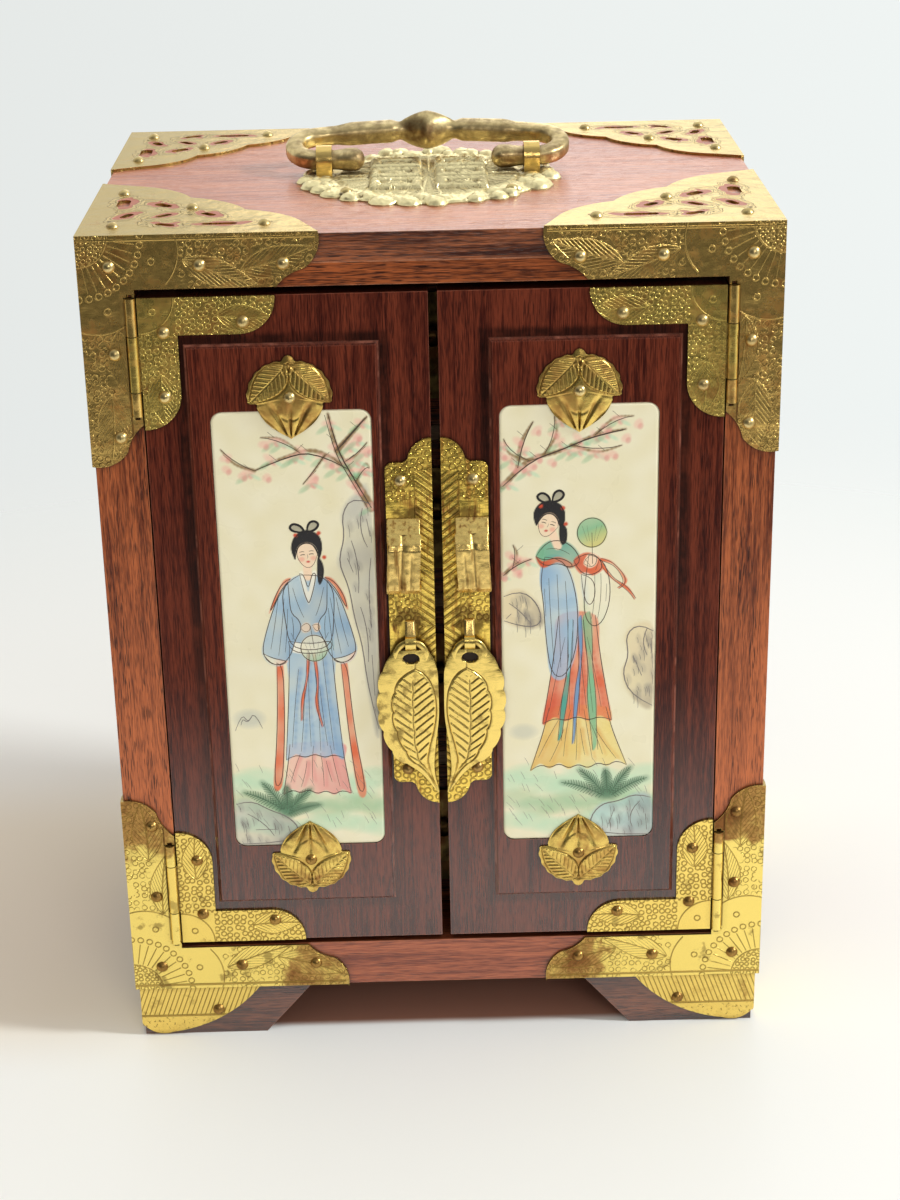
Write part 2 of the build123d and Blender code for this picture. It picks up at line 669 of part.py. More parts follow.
bend = 0.41 * handle_height
span, rise = handle_bend_offset, handle_height
arch = (span**2 + rise**2 - 2 * bend * rise) / (2 * (rise - 2 * bend))
reach = ((arch - bend)**2 - (rise - arch - bend)**2)**0.5
touch_x = arch * span / (arch - bend)
touch_y = (rise - arch) + arch * (bend - rise + arch) / (arch - bend)
half_path = [Line((handle_end_offset, 0), (span, 0)),
             ThreePointArc((span, 0), (span + bend * cos(radians(20)), bend - bend * sin(radians(20))),
                           (touch_x, touch_y)),
             ThreePointArc((touch_x, touch_y),
                           (touch_x / 2, rise - arch + (arch**2 - touch_x**2 / 4)**0.5), (0, rise))]
path = Wire(half_path)
section_plane = Plane(origin=(handle_end_offset, 0, 0), x_dir=(0, 1, 0), z_dir=(1, 0, 0))
section = section_plane * RectangleRounded(handle_bar_width, handle_bar_thickness, handle_bar_round)
half_bail = sweep(section, path)
half_bail += Pos(handle_end_offset, 0, 0) * scale(
    Sphere(1), (1.6, handle_bar_width / 2 * 0.98, handle_bar_thickness / 2 * 0.98))


def diamond(share, height):
    """A slice of the bead at the bail's middle, at a share of its full size."""
    x, y = share * bead_half_width, share * bead_half_length
    outline = Polyline((0, rise - y), (x, rise), (0, rise + y), (-x, rise), close=True)
    return make_face(Pos(0, 0, height) * outline)


# Shares of the bead's size, and of its half thickness
bead_slices = [(1, 0), (0.92, 0.37), (0.70, 0.70), (0.42, 0.90), (0.16, 1)]
bead_low = loft([diamond(share, -depth * bead_half_thickness) for share, depth in bead_slices], ruled=True)
bead_solid = bead_low + mirror(bead_low, Plane.XY)
bail = half_bail + other_side(half_bail) + bead_solid
parts["carry_handle"] = Pos(0, 0, handle_z) * Rot(handle_rest_angle, 0, 0) * bail


# Drawers, numbered from the top

for number in range(1, drawer_count + 1):
    low = bay_floors[drawer_count - number] + drawer_gap
    high = low + bay_height - 2 * drawer_gap
    half = guide_inner - drawer_gap
    board = tile(-half, half, drawer_face, drawer_face + drawer_front, low, high)
    tray_front, tray_back = drawer_face + drawer_front, back_face - drawer_tail_gap
    wall_top = high - drawer_wall_drop
    tray = tile(-half, half, tray_front, tray_back, low, wall_top)
    tray -= tile(-half + drawer_wall, half - drawer_wall, tray_front + drawer_wall, tray_back - drawer_wall,
                 low + drawer_floor, wall_top)
    middle = (low + high) / 2
    plate_plane = Plane(origin=(0, drawer_face, middle), x_dir=(1, 0, 0), z_dir=(0, -1, 0))
    shape = Rectangle(drawer_plate_width, drawer_plate_height - 9) + Rectangle(
        drawer_plate_width - 9, drawer_plate_height) + Circle(drawer_plate_height / 2 - 1.2)
    plate = extrude(plate_plane * shape, sheet)
    hang = drawer_pull_thickness / 2 + 0.7
    ear, ear_slots = strap_loop(drawer_loop_width, drawer_loop_strip, drawer_pull_ring / 2 + loop_room, hang,
                                sheet + tang_depth)
    pivot = Pos(0, drawer_face - sheet - hang, middle + drawer_pull_length / 3)
    cuts = [pivot * slot for slot in ear_slots]
    parts[f"drawer_{number}_front"] = board - cuts
    parts[f"drawer_{number}_tray"] = tray
    parts[f"drawer_{number}_plate"] = group([plate - cuts, pivot * ear])
    parts[f"drawer_{number}_pull"] = pivot * hanging_leaf(drawer_pull_length, drawer_pull_hole,
                                                          drawer_pull_ring, drawer_pull_thickness)

# Nails and their holes in the carcass
nailed = ["top_board", "front_stiles", "front_rail_top", "front_rail_bottom", "side_panel_right",
          "side_panel_left", "back_panel", "bottom_board", "handle_plate", "feet_front", "feet_back", "foot_mounts"]
nailed += [name for name in parts if name.startswith("corner_")]
for name in nailed:
    drilled = [drill(solid, nails["carcass"]) for solid in parts[name].solids()]
    parts[name] = group(drilled) if len(drilled) > 1 else drilled[0]
studs = [nail(position, direction) for position, direction in nails["carcass"]]
parts["carcass_nails"] = group(studs)

# The lock staples stand out further than the back's nails, so the origin moves to the middle of both
middle_shift = Pos(0, (staple_depth - nail_dome) / 2, 0)
os.makedirs("parts", exist_ok=True)
for name, piece in parts.items():
    piece = middle_shift * piece
    piece.label = name
    export_step(piece, f"parts/{name}.step")
print(len(parts), "sub-parts written")
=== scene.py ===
import math
import random

import bpy
import numpy
from mathutils import Euler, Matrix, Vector
from mathutils import noise as noiseTools


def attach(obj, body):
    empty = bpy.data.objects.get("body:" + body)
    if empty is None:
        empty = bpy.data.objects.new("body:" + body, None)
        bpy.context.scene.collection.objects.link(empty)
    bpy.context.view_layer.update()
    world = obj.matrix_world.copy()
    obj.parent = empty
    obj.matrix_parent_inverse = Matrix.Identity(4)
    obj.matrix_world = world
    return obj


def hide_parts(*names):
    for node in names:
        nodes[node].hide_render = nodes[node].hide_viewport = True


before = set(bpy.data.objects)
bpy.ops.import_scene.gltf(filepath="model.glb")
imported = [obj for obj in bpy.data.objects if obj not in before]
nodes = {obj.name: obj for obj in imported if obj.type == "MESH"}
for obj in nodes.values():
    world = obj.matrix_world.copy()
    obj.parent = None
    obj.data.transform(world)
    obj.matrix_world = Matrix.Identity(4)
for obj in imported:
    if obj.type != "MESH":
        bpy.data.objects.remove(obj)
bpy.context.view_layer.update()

mm = 0.001

# The cabinet's own places, in millimetres, as seen from the front.
cabinet = {
    "halfWidth": 89.0, "halfDepth": 66.5, "depthShift": 2.825,  # outside of the brass, and where its middle lies
    "top": 234.25, "bottom": 16.0,
    "doorOuter": 74.6, "doorTop": 218.0, "doorBottom": 31.1, "doorInner": 1.2,
    "lockMiddle": 126.4,
}


def activate(*pieces):
    bpy.ops.object.select_all(action="DESELECT")
    for piece in pieces:
        piece.select_set(True)
    bpy.context.view_layer.objects.active = pieces[0]


def addObject(name, data):
    piece = bpy.data.objects.new(name, data)
    bpy.context.scene.collection.objects.link(piece)
    return piece


def applyModifier(piece, kind, **settings):
    modifier = piece.modifiers.new(kind.lower(), kind)
    for name, value in settings.items():
        setattr(modifier, name, value)
    bpy.ops.object.modifier_apply(modifier=modifier.name)


# Shader helpers. A wire is a socket that can be reckoned with, and each step adds a node to the open tree. A plain
# number or colour may stand for any wire.

opened = {"tree": None}


def addNode(kind, **settings):
    node = opened["tree"].nodes.new(kind if kind.startswith("NodeGroup") else "ShaderNode" + kind)
    for name, value in settings.items():
        setattr(node, name, value)
    return node


def plug(value, socket):
    value = value.socket if isinstance(value, Wire) else value
    if isinstance(value, bpy.types.NodeSocket):
        opened["tree"].links.new(value, socket)
    elif isinstance(value, (tuple, list)) and len(value) == 3 and socket.type == "RGBA":
        socket.default_value = (*value, 1.0)
    else:
        socket.default_value = value


def plugAll(node, **values):
    for name, value in values.items():
        plug(value, node.inputs[name.replace("_", " ")])


def calc(operation, *values):
    node = addNode("Math", operation=operation)
    for socket, value in zip(node.inputs, values):
        plug(value, socket)
    return Wire(node.outputs[0])


class Wire:
    def __init__(self, socket):
        self.socket = socket

    def __add__(self, other):
        return calc("ADD", self, other)

    def __radd__(self, other):
        return calc("ADD", other, self)

    def __sub__(self, other):
        return calc("SUBTRACT", self, other)

    def __rsub__(self, other):
        return calc("SUBTRACT", other, self)

    def __mul__(self, other):
        return calc("MULTIPLY", self, other)

    def __rmul__(self, other):
        return calc("MULTIPLY", other, self)

    def __truediv__(self, other):
        return calc("DIVIDE", self, other)

    def __rtruediv__(self, other):
        return calc("DIVIDE", other, self)

    def __pow__(self, other):
        return calc("POWER", self, other)

    def __gt__(self, other):
        return calc("GREATER_THAN", self, other)

    def __lt__(self, other):
        return calc("LESS_THAN", self, other)

    def __abs__(self):
        return calc("ABSOLUTE", self)


def most(first, *others):
    for other in others:
        first = calc("MAXIMUM", first, other)
    return first


def least(first, other):
    return calc("MINIMUM", first, other)


def distance(x, y):
    return calc("SQRT", x * x + y * y)


def ramp(value, low, high, outLow=0.0, outHigh=1.0):
    node = addNode("MapRange", interpolation_type="SMOOTHSTEP")
    plugAll(node, Value=value, From_Min=low, From_Max=high, To_Min=outLow, To_Max=outHigh)
    return Wire(node.outputs["Result"])


# A line of the given width where the value is nought: soft from one share of the width to the other.
def lineMark(away, width, outer=1.4, inner=0.4):
    return ramp(away, width * outer, width * inner)


def mixColor(share, first, second, kind="MIX"):
    node = addNode("Mix", data_type="RGBA", blend_type=kind)
    for place, value in ((0, share), (6, first), (7, second)):
        plug(value, node.inputs[place])
    return Wire(node.outputs[2])


def mixValue(share, first, second):
    node = addNode("Mix", data_type="FLOAT")
    for place, value in ((0, share), (2, first), (3, second)):
        plug(value, node.inputs[place])
    return Wire(node.outputs[0])


def split(vector):
    node = addNode("SeparateXYZ")
    plug(vector, node.inputs[0])
    return [Wire(socket) for socket in node.outputs]


def joinXyz(*values):
    node = addNode("CombineXYZ")
    for socket, value in zip(node.inputs, values):
        plug(value, socket)
    return Wire(node.outputs[0])


def mapping(vector, location=(0, 0, 0), rotation=(0, 0, 0), scale=(1, 1, 1)):
    node = addNode("Mapping")
    plugAll(node, Vector=vector, Location=location, Rotation=rotation, Scale=scale)
    return Wire(node.outputs[0])


def noise(vector, scale, detail=2.0, rough=0.5, distortion=0.0):
    node = addNode("TexNoise")
    plugAll(node, Vector=vector, Scale=scale, Detail=detail, Roughness=rough, Distortion=distortion)
    return Wire(node.outputs["Fac"])


# Noise drawn out or squeezed along the axes.
def stretched(vector, scale, detail=1.0, rough=0.5, distortion=0.0):
    return noise(mapping(vector, scale=scale), 1.0, detail, rough, distortion)


def coordinate(kind="Object"):
    return Wire(addNode("TexCoord").outputs[kind])


def millimetres():
    node = addNode("VectorMath", operation="SCALE")
    plugAll(node, Scale=1000.0)
    plug(coordinate(), node.inputs[0])
    return Wire(node.outputs[0])


def levelOf():
    return split(millimetres())[2]


# What follows the height on the cabinet is made later, inside the material that asks for it.
def fadeUpwards(low, high, shareLow, shareHigh):
    return lambda: ramp(levelOf(), low, high, shareLow, shareHigh)


def settled(value):
    return value() if callable(value) else value


# A shader group: startGroup gives its inputs, and endGroup a function that puts the group into the open tree.

socketKinds = {"VALUE": "Float", "RGBA": "Color", "VECTOR": "Vector"}


def startGroup(name, **inputs):
    tree = opened["tree"] = bpy.data.node_groups.new(name, "ShaderNodeTree")
    for socketName, value in inputs.items():
        kind = "Vector" if value is None else "Color" if isinstance(value, tuple) else "Float"
        socket = tree.interface.new_socket(socketName, in_out="INPUT", socket_type="NodeSocket" + kind)
        if value is not None:
            socket.default_value = (*value, 1.0) if kind == "Color" else value
    outputs = addNode("NodeGroupInput").outputs
    return [Wire(outputs[socketName]) for socketName in inputs]


def endGroup(**wires):
    group = opened["tree"]
    for name, wire in wires.items():
        kind = socketKinds[wire.socket.type]
        group.interface.new_socket(name, in_out="OUTPUT", socket_type="NodeSocket" + kind)
    plugAll(addNode("NodeGroupOutput"), **wires)

    def use(**values):
        node = addNode("Group", node_tree=group)
        plugAll(node, **values)
        found = {socket.name: Wire(socket) for socket in node.outputs}
        return found if len(found) > 1 else found.popitem()[1]

    return use


# Grain of the rosewood. The grain runs along the vector's X, in millimetres.

def makeWoodGrain():
    vector, pores = startGroup("rosewoodGrain", Vector=None, Pores=1.0)
    broad = stretched(vector, (0.012, 0.11, 0.11), 3.0, 0.55, 0.4)
    bands = stretched(vector, (0.03, 0.9, 0.9), 3.0, 0.6, 0.3)
    fine = stretched(vector, (0.22, 3.4, 3.4), 2.0, 0.55)
    streaks = stretched(vector, (0.19, 3.1, 3.1), 1.5)
    patches = ramp(stretched(vector, (0.02, 0.25, 0.25), 2.0), 0.35, 0.65, 0.35, 1.0)
    pore = ramp(streaks, 0.53, 0.62) * patches * pores
    return endGroup(Tone=ramp(fine * 0.42 + (bands * 0.48 + broad * 0.35), 0.48, 0.76), Pore=pore,
                    Height=pore * -0.8 + fine * 0.35)


# Worn or rounded edges, found where a rounded normal leaves the face's own.

def makeEdgeWear():
    radius, breakup = startGroup("edgeWear", Radius=0.0006, Breakup=0.5)
    bevel = addNode("Bevel", samples=4)
    plugAll(bevel, Radius=radius)
    dot = addNode("VectorMath", operation="DOT_PRODUCT")
    plug(Wire(bevel.outputs[0]), dot.inputs[0])
    plug(Wire(addNode("NewGeometry").outputs["Normal"]), dot.inputs[1])
    away = ramp(1.0 - Wire(dot.outputs["Value"]), 0.02, 0.22)
    patch = ramp(noise(coordinate(), 420.0, 3.0), 0.35, 0.62)
    return endGroup(Edge=away * mixValue(breakup, 1.0, patch))


# Dirt and painted shade where other parts stand close, such as round nails and along the hinges.

def makeCornerDirtAndShade():
    reach, = startGroup("cornerDirt", Reach=0.0025)
    shade = addNode("AmbientOcclusion", samples=4)
    plugAll(shade, Distance=reach)
    return endGroup(Dirt=ramp(Wire(shade.outputs["AO"]), 0.94, 0.50))


# Distances on the outside of the carcass, in millimetres: U from the upright edge, V from the top or bottom edge.
# The third value of Flat tells the top from the sides.

onTopFlag = 50.0
webReach = {"front": 60.0, "back": 53.0}


def makeCornerFold():
    startGroup("cornerFold")
    x, y, z = split(coordinate())
    nx, nz = split(coordinate("Normal"))[::2]
    across = abs(x) * -1000.0 + cabinet["halfWidth"]
    inward = cabinet["halfDepth"] - abs(y * 1000.0 - cabinet["depthShift"])
    below = z * -1000.0 + cabinet["top"]
    above = z * 1000.0 - cabinet["bottom"]
    onTop = abs(nz) > 0.7
    u = mixValue(abs(nx) > 0.7, across, inward)
    v = mixValue(onTop, least(below, above), inward)
    return endGroup(U=u, V=v, Level=z * 1000.0, Flat=joinXyz(u, v, onTop * onTopFlag),
                    Reach=mixValue(y > 0.0, webReach["front"], webReach["back"]))


# The ground of small engraved rings, in millimetres.

def makeRingGround():
    vector, pitch, line = startGroup("engravedRings", Vector=None, Pitch=1.9, Line=0.17)
    voronoi = addNode("TexVoronoi", voronoi_dimensions="2D")
    plugAll(voronoi, Vector=vector, Scale=1.0 / pitch, Randomness=0.42)
    size = Wire(voronoi.outputs["Distance"]) * pitch
    return endGroup(Mark=lineMark(abs(size - pitch * 0.36), line, 1.3, 0.5))


# One engraved leaf lying along the vector's X, from its stalk at the origin, in millimetres.

def makeLeafMark():
    vector, length, width, bend, veins, slant, line = startGroup(
        "engravedLeaf", Vector=None, Length=20.0, Width=8.0, Bend=0.0, Veins=10.0, Slant=0.2, Line=0.16)
    x, y = split(vector)[:2]
    s = x / length
    side = y - s * (1.0 - s) * 4.0 * bend
    swell = calc("SINE", most(s, 0.0) ** 0.8 * math.pi)
    away = abs(side)
    rim = most(swell, 0.0) * (width * 0.5) - away
    inside = (s > 0.0) * (s < 1.0) * (rim > -0.1)
    along = s - away / width * slant
    beat = calc("PINGPONG", along * veins, 0.5)
    vein = lineMark(beat * (length / veins), line, 1.2)
    mark = most(lineMark(abs(rim), line, 1.5, 0.5), lineMark(away, line, 1.5, 0.6), vein * 0.8)
    return endGroup(Mark=mark * inside, Inside=inside)


# A circle about (X, Y).

def makeArcMark():
    vector, atX, atY, size, line = startGroup("engravedArc", Vector=None, X=0.0, Y=0.0, Radius=1.0, Line=0.17)
    x, y = split(vector)[:2]
    radius = distance(x - atX, y - atY)
    return endGroup(Mark=lineMark(abs(radius - size), line), Inside=radius < size)


# A ring of small circles about the origin.

def makeFanBeads():
    vector, ring, count, line = startGroup("engravedFanBeads", Vector=None, Radius=16.0, Count=40.0, Line=0.16)
    x, y = split(vector)[:2]
    turns = calc("ARCTAN2", y, x) * (count / (2 * math.pi))
    around = calc("PINGPONG", turns, 0.5) * (ring * (2 * math.pi) / count)
    away = distance(around, distance(x, y) - ring)
    return endGroup(Mark=lineMark(abs(away - 0.8), line))


# One pierced opening of the webs on top, with the embossed lines that run round it.

def makeWebOpening():
    vector, atX, atY, turn, length, width = startGroup("webOpening", Vector=None, X=0.0, Y=0.0, Turn=0.0, Length=8.0,
                                                       Width=4.0)
    x, y = split(vector)[:2]
    dx, dy = x - atX, y - atY
    c, s = calc("COSINE", turn), calc("SINE", turn)
    half = width * 0.5
    away = (distance((dx * c + dy * s) / (length * 0.5), (dy * c - dx * s) / half) - 1.0) * half
    rims = [ramp(abs(away - middle), wide, narrow) for middle, wide, narrow in ((0.15, 0.42, 0.12), (1.35, 0.40, 0.10))]
    return endGroup(Inside=ramp(away, 0.10, -0.14), Rim=most(*rims))


# Straight hatch lines across the vector's X.

def makeHatch():
    vector, pitch, line = startGroup("engravedHatch", Vector=None, Pitch=1.0, Line=0.16)
    beat = calc("PINGPONG", split(vector)[0] / pitch, 0.5)
    return endGroup(Mark=lineMark(beat * pitch, line, 1.2, 0.3))


# Colour and roughness of old brass: bright where it is rubbed, olive and reddish brown where it has dulled.

tarnish = {"flank": (0.085, 0.045, 0.013), "filledLine": (0.30, 0.17, 0.035), "grimeAndShade": (0.115, 0.055, 0.019)}


def makeBrassAge():
    vector, dull, mark, edge, grimeAndShade, dirt, bright, olive, red = startGroup(
        "agedBrass", Vector=None, Dull=0.5, Mark=0.0, Edge=0.0, Grime=0.0, Dirt=0.0, Bright=(0.93, 0.68, 0.18),
        Olive=(0.47, 0.285, 0.066), Red=(0.27, 0.10, 0.035))
    cloud = noise(vector, 0.045, 5.0, 0.62, 0.4)
    speck = noise(vector, 0.55, 4.0, 0.6)
    patch = noise(mapping(vector, location=(5, 11, 17)), 0.24, 3.0, 0.55, 0.6)
    tint = patch * 0.38 + (cloud * 0.40 + speck * 0.22)
    dulled = ramp(tint + (dull - 0.5), 0.37, 0.63)
    redness = ramp(noise(mapping(vector, location=(31, 7, 3)), 0.07, 4.0, 0.6), 0.50, 0.64) * (dulled * 0.85)
    color = mixColor(redness, mixColor(dulled, bright, olive), red)
    # Painted shade and tarnish darken both sides of each line.
    flank = ramp(mark, 0.05, 0.40) * ramp(mark, 0.95, 0.60)
    color = mixColor(flank * mixValue(dirt, 0.84, 0.40), color, tarnish["flank"])
    # The lines' middles are clean bright metal with a painted highlight, and read dark where dirt fills them.
    core = ramp(mark, mixValue(dirt, 0.70, 0.30), mixValue(dirt, 0.98, 0.80)) * 0.80
    color = mixColor(core, color, mixColor(dirt, bright, tarnish["filledLine"]))
    color = mixColor(edge * 0.7, mixColor(grimeAndShade * 0.88, color, tarnish["grimeAndShade"]), bright)
    rough = dulled * 0.16 + speck * 0.12 + most(flank, grimeAndShade) * 0.2 + 0.17
    scratches = noise(mapping(vector, rotation=(0, 0, 0.4), scale=(0.4, 5.0, 2.0)), 1.0, 2.0)
    height = noise(vector, 0.16, 2.0, 0.5) * 0.9 + scratches * 0.06
    return endGroup(Color=color, Roughness=rough, Height=mark * 0.30 + height)


woodGrain, edgeWear, cornerDirt, cornerFold = makeWoodGrain(), makeEdgeWear(), makeCornerDirtAndShade(), makeCornerFold()
ringGround, leafMark, hatchMark, arcMark = makeRingGround(), makeLeafMark(), makeHatch(), makeArcMark()
fanBeads, webOpening, brassAge = makeFanBeads(), makeWebOpening(), makeBrassAge()
print("shared shader groups are ready")


def startMaterial(name):
    material = bpy.data.materials.new(name)
    material.use_nodes = True
    opened["tree"] = material.node_tree
    material.node_tree.nodes.clear()
    shader = addNode("BsdfPrincipled")
    plug(Wire(shader.outputs[0]), addNode("OutputMaterial").inputs[0])
    return material, shader


def bump(height, depth):
    node = addNode("Bump")
    plugAll(node, Distance=depth, Strength=1.0, Height=height)
    return Wire(node.outputs[0])


# Rosewood under lacquer. The turn lays the grain along X or Z of the cabinet.

grainTurns = {"x": (0, 0, 0), "z": (0, math.pi / 2, 0)}
# Tints laid over the wood: the near-black ones are dirt and painted shade where other parts stand close, and painted
# shade round the raised field.
woodTints = {"paler": (0.74, 0.21, 0.074), "fleck": (0.80, 0.46, 0.32), "soil": (0.012, 0.004, 0.002),
             "fieldShade": (0.010, 0.003, 0.002)}
# Levels, in millimetres, between which a look changes.
woodLevels = {"paler": (150.0, 40.0), "seamShade": (60.0, 150.0), "coat": (38.0, 120.0)}
# The raised field of a door: its middle, its half sizes, and how far back its front reaches.
raisedField = {"x": 38.8, "z": 124.55, "halfWide": 24.8, "halfTall": 80.95, "behind": -62.0}


def makeRosewood(name, grain, dark, light, poreColor, rough=0.32, coat=0.45, pores=1.0, edge=(0.46, 0.17, 0.08),
                 shift=(0, 0, 0), upDark=None, upLight=None, gloss=0.22, coatHigh=None, coatIor=1.5, paler=0.0,
                 field=None):
    material, shader = startMaterial(name)
    vector = mapping(millimetres(), location=shift, rotation=grainTurns[grain])
    grainOut = woodGrain(Vector=vector, Pores=pores)
    edgeWearAndHighlight = edgeWear(Radius=0.0005)
    color = mixColor(grainOut["Tone"], dark, light)
    level = levelOf()
    if paler:
        color = mixColor(ramp(level, *woodLevels["paler"], 0.0, paler), color, woodTints["paler"])
    color = mixColor(grainOut["Pore"] * 0.85, color, poreColor)
    if upLight:
        # The upward face is painted paler: faded by the light, and paler still as a painted glare from the lamps.
        upright = split(coordinate("Normal"))[2]
        bleachedAndGlare = mixColor(grainOut["Tone"], upDark, upLight)
        bleachedAndGlare = mixColor(grainOut["Pore"] * 0.6, bleachedAndGlare, upDark)
        fleck = stretched(vector, (0.5, 1.6, 1.6), 3.0, 0.7)
        bleachedAndGlare = mixColor(ramp(fleck, 0.50, 0.68, 0.0, 0.32), bleachedAndGlare, woodTints["fleck"])
        color = mixColor(ramp(upright, 0.6, 0.9), color, bleachedAndGlare)
    # Edges are painted lighter: partly worn, partly a painted highlight where they catch the light.
    color = mixColor(edgeWearAndHighlight * 0.6, color, edge)
    # Dirt and painted shade darken the wood where other parts stand close.
    color = mixColor(cornerDirt(Reach=0.003) * 0.75, color, woodTints["soil"])
    if field:
        # A painted shade darkens the corner round the raised field, and a painted highlight lightens its bevelled edge
        # in places.
        x, y, z = split(millimetres())
        beyond = most(abs(abs(x) - field["x"]) - field["halfWide"], abs(z - field["z"]) - field["halfTall"])
        uneven = noise(millimetres(), 0.12, 3.0, 0.6)
        front = y < field["behind"]
        strength = ramp(level, *woodLevels["seamShade"], 0.35, 0.80) * ramp(uneven, 0.35, 0.55, 0.55, 1.0)
        seamShade = ramp(abs(beyond - 1.0), 2.4, 0.5) * strength
        color = mixColor(seamShade * front, color, woodTints["fieldShade"])
        bevelHighlight = ramp(abs(beyond + 0.25), 0.40, 0.12) * ramp(uneven, 0.45, 0.60, 0.10, 0.45)
        color = mixColor(bevelHighlight * front, color, edge)
    plugAll(shader, Base_Color=color, Roughness=grainOut["Tone"] * 0.08 + rough)
    # The lacquer has kept its gloss lower down, and is worn dull above.
    if coatHigh is None:
        shader.inputs["Coat Weight"].default_value = coat
    else:
        plug(ramp(level, *woodLevels["coat"], coat, coatHigh), shader.inputs["Coat Weight"])
    shader.inputs["Coat IOR"].default_value = coatIor
    shader.inputs["Coat Roughness"].default_value = 0.16
    shader.inputs["Specular IOR Level"].default_value = gloss
    plug(bump(grainOut["Height"], 0.00012), shader.inputs["Normal"])
    # The lacquer has its own faint orange-peel ripple.
    ripple = noise(millimetres(), 1.1, 2.0, 0.6)
    lacquer = ripple * 0.5 + grainOut["Height"]
    plug(bump(lacquer, 0.00007), shader.inputs["Coat Normal"])
    return material


redDark, redLight, redPore = (0.100, 0.018, 0.006), (0.45, 0.118, 0.036), (0.026, 0.006, 0.003)
railDark, railLight, railEdge = (0.045, 0.009, 0.004), (0.36, 0.105, 0.034), (0.62, 0.30, 0.17)
doorDark, doorLight, doorPore = (0.038, 0.006, 0.004), (0.156, 0.031, 0.014), (0.010, 0.002, 0.002)
woods = {
    "stile": makeRosewood("rosewoodUpright", "z", redDark, redLight, redPore, coat=0.6, paler=0.58, gloss=0.16,
                          coatHigh=0.35),
    "rail": makeRosewood("rosewoodAcross", "x", railDark, (0.36, 0.092, 0.025), redPore, coat=0.08, gloss=0.14,
                         edge=railEdge),
    "lowRail": makeRosewood("rosewoodLowRail", "x", (0.17, 0.030, 0.012), (0.44, 0.115, 0.045), redPore, coat=0.9,
                            pores=0.6, shift=(0, 9, 4), coatIor=1.6),
    "side": makeRosewood("rosewoodSides", "z", redDark, redLight, redPore, shift=(40, 0, 13)),
    "top": makeRosewood("rosewoodTop", "x", railDark, railLight, redPore, 0.28, 0.25, 0.8, edge=railEdge,
                        upDark=(0.36, 0.080, 0.038), upLight=(0.66, 0.225, 0.105), gloss=0.5),
    "door": makeRosewood("rosewoodDoors", "z", doorDark, doorLight, doorPore, 0.30, 0.85, 0.7, (0.40, 0.14, 0.09),
                         gloss=0.05, coatHigh=0.06, coatIor=2.0, field=raisedField),
    "foot": makeRosewood("rosewoodFeet", "x", doorDark, (0.20, 0.055, 0.022), doorPore, 0.30, 0.9, coatIor=1.9),
}


def makeDrawerWood():
    material, shader = startMaterial("waxedDrawerWood")
    vector = mapping(millimetres(), rotation=grainTurns["x"])
    grainOut = woodGrain(Vector=vector, Pores=0.6)
    color = mixColor(grainOut["Tone"], (0.26, 0.14, 0.07), (0.46, 0.29, 0.16))
    color = mixColor(grainOut["Pore"] * 0.6, color, (0.12, 0.06, 0.03))
    plugAll(shader, Base_Color=color, Roughness=0.5)
    plug(bump(grainOut["Height"], 0.0001), shader.inputs["Normal"])
    return material


# Brass with an engraving. What is engraved comes from a function that gives the lines' mask.

hingeBarrel = {"x": 76.3, "radius": 1.5, "behind": -61.0, "low": 32.0, "high": 217.0}


# The hinge barrels: where they are, and the painted shadow lines along both sides.
def barrelPlace():
    p = hingeBarrel
    x, y, z = split(millimetres())
    off = abs(abs(x) - p["x"])
    front = (y < p["behind"]) * ((z > p["low"]) * (z < p["high"]))
    body = ramp(off, p["radius"] + 0.05, p["radius"] - 0.10) * front
    return body, ramp(abs(off - p["radius"]), 0.42, 0.12) * front


woodUnderWeb = (0.46, 0.13, 0.07)


def makeBrass(name, dull=0.5, engrave=None, depth=0.00035, roughShift=0.0, bright=None, olive=None,
              hollows=None, pierced=None, dirt=0.0, red=None, soil=None, barrels=False, corners=0.85, grazing=None):
    material, shader = startMaterial(name)
    mark = engrave() if engrave else 0.0
    if barrels:
        body, sides = barrelPlace()
        mark = mark * (1.0 - body)
    colors = {key: settled(value) for key, value in (("Bright", bright), ("Olive", olive), ("Red", red)) if value}
    # Dirt and painted shade darken the brass where other parts stand close, and dirt lies in the hollows of cast and
    # stamped relief, where the surface curves inwards.
    grimeAndShade = cornerDirt(Reach=0.0022) * corners
    if hollows:
        curving = addNode("NewGeometry").outputs["Pointiness"]
        grimeAndShade = most(grimeAndShade, ramp(curving, hollows[1], hollows[0]))
    if soil:
        grimeAndShade = most(grimeAndShade, soil())
    # Painted shadow lines run along both sides of each hinge barrel.
    if barrels:
        grimeAndShade = most(grimeAndShade, sides * 0.9)
    aged = brassAge(Vector=millimetres(), Dull=settled(dull), Mark=mark, Edge=edgeWear(Radius=0.00035), Grime=grimeAndShade,
                    Dirt=settled(dirt), **colors)
    color = aged["Color"]
    roughness = aged["Roughness"] + roughShift
    shader.inputs["Metallic"].default_value = 1.0
    if grazing:
        shader.inputs["Specular Tint"].default_value = (*grazing, 1.0)
    if pierced:
        hole = pierced()[0]
        color = mixColor(hole, color, woodUnderWeb)
        roughness = mixValue(hole, roughness, 0.45)
        plug(1.0 - hole, shader.inputs["Metallic"])
    plugAll(shader, Base_Color=color, Roughness=roughness, Normal=bump(aged["Height"], depth))
    return material


def addLeaf(flat, at, turn, length, width, bend=0.0, veins=10.0, slant=0.3, line=0.16):
    turned = mapping(mapping(flat, location=(-at[0], -at[1], 0)), rotation=(0, 0, -math.radians(turn)))
    return leafMark(Vector=turned, Length=length, Width=width, Bend=bend, Veins=veins, Slant=slant, Line=line)


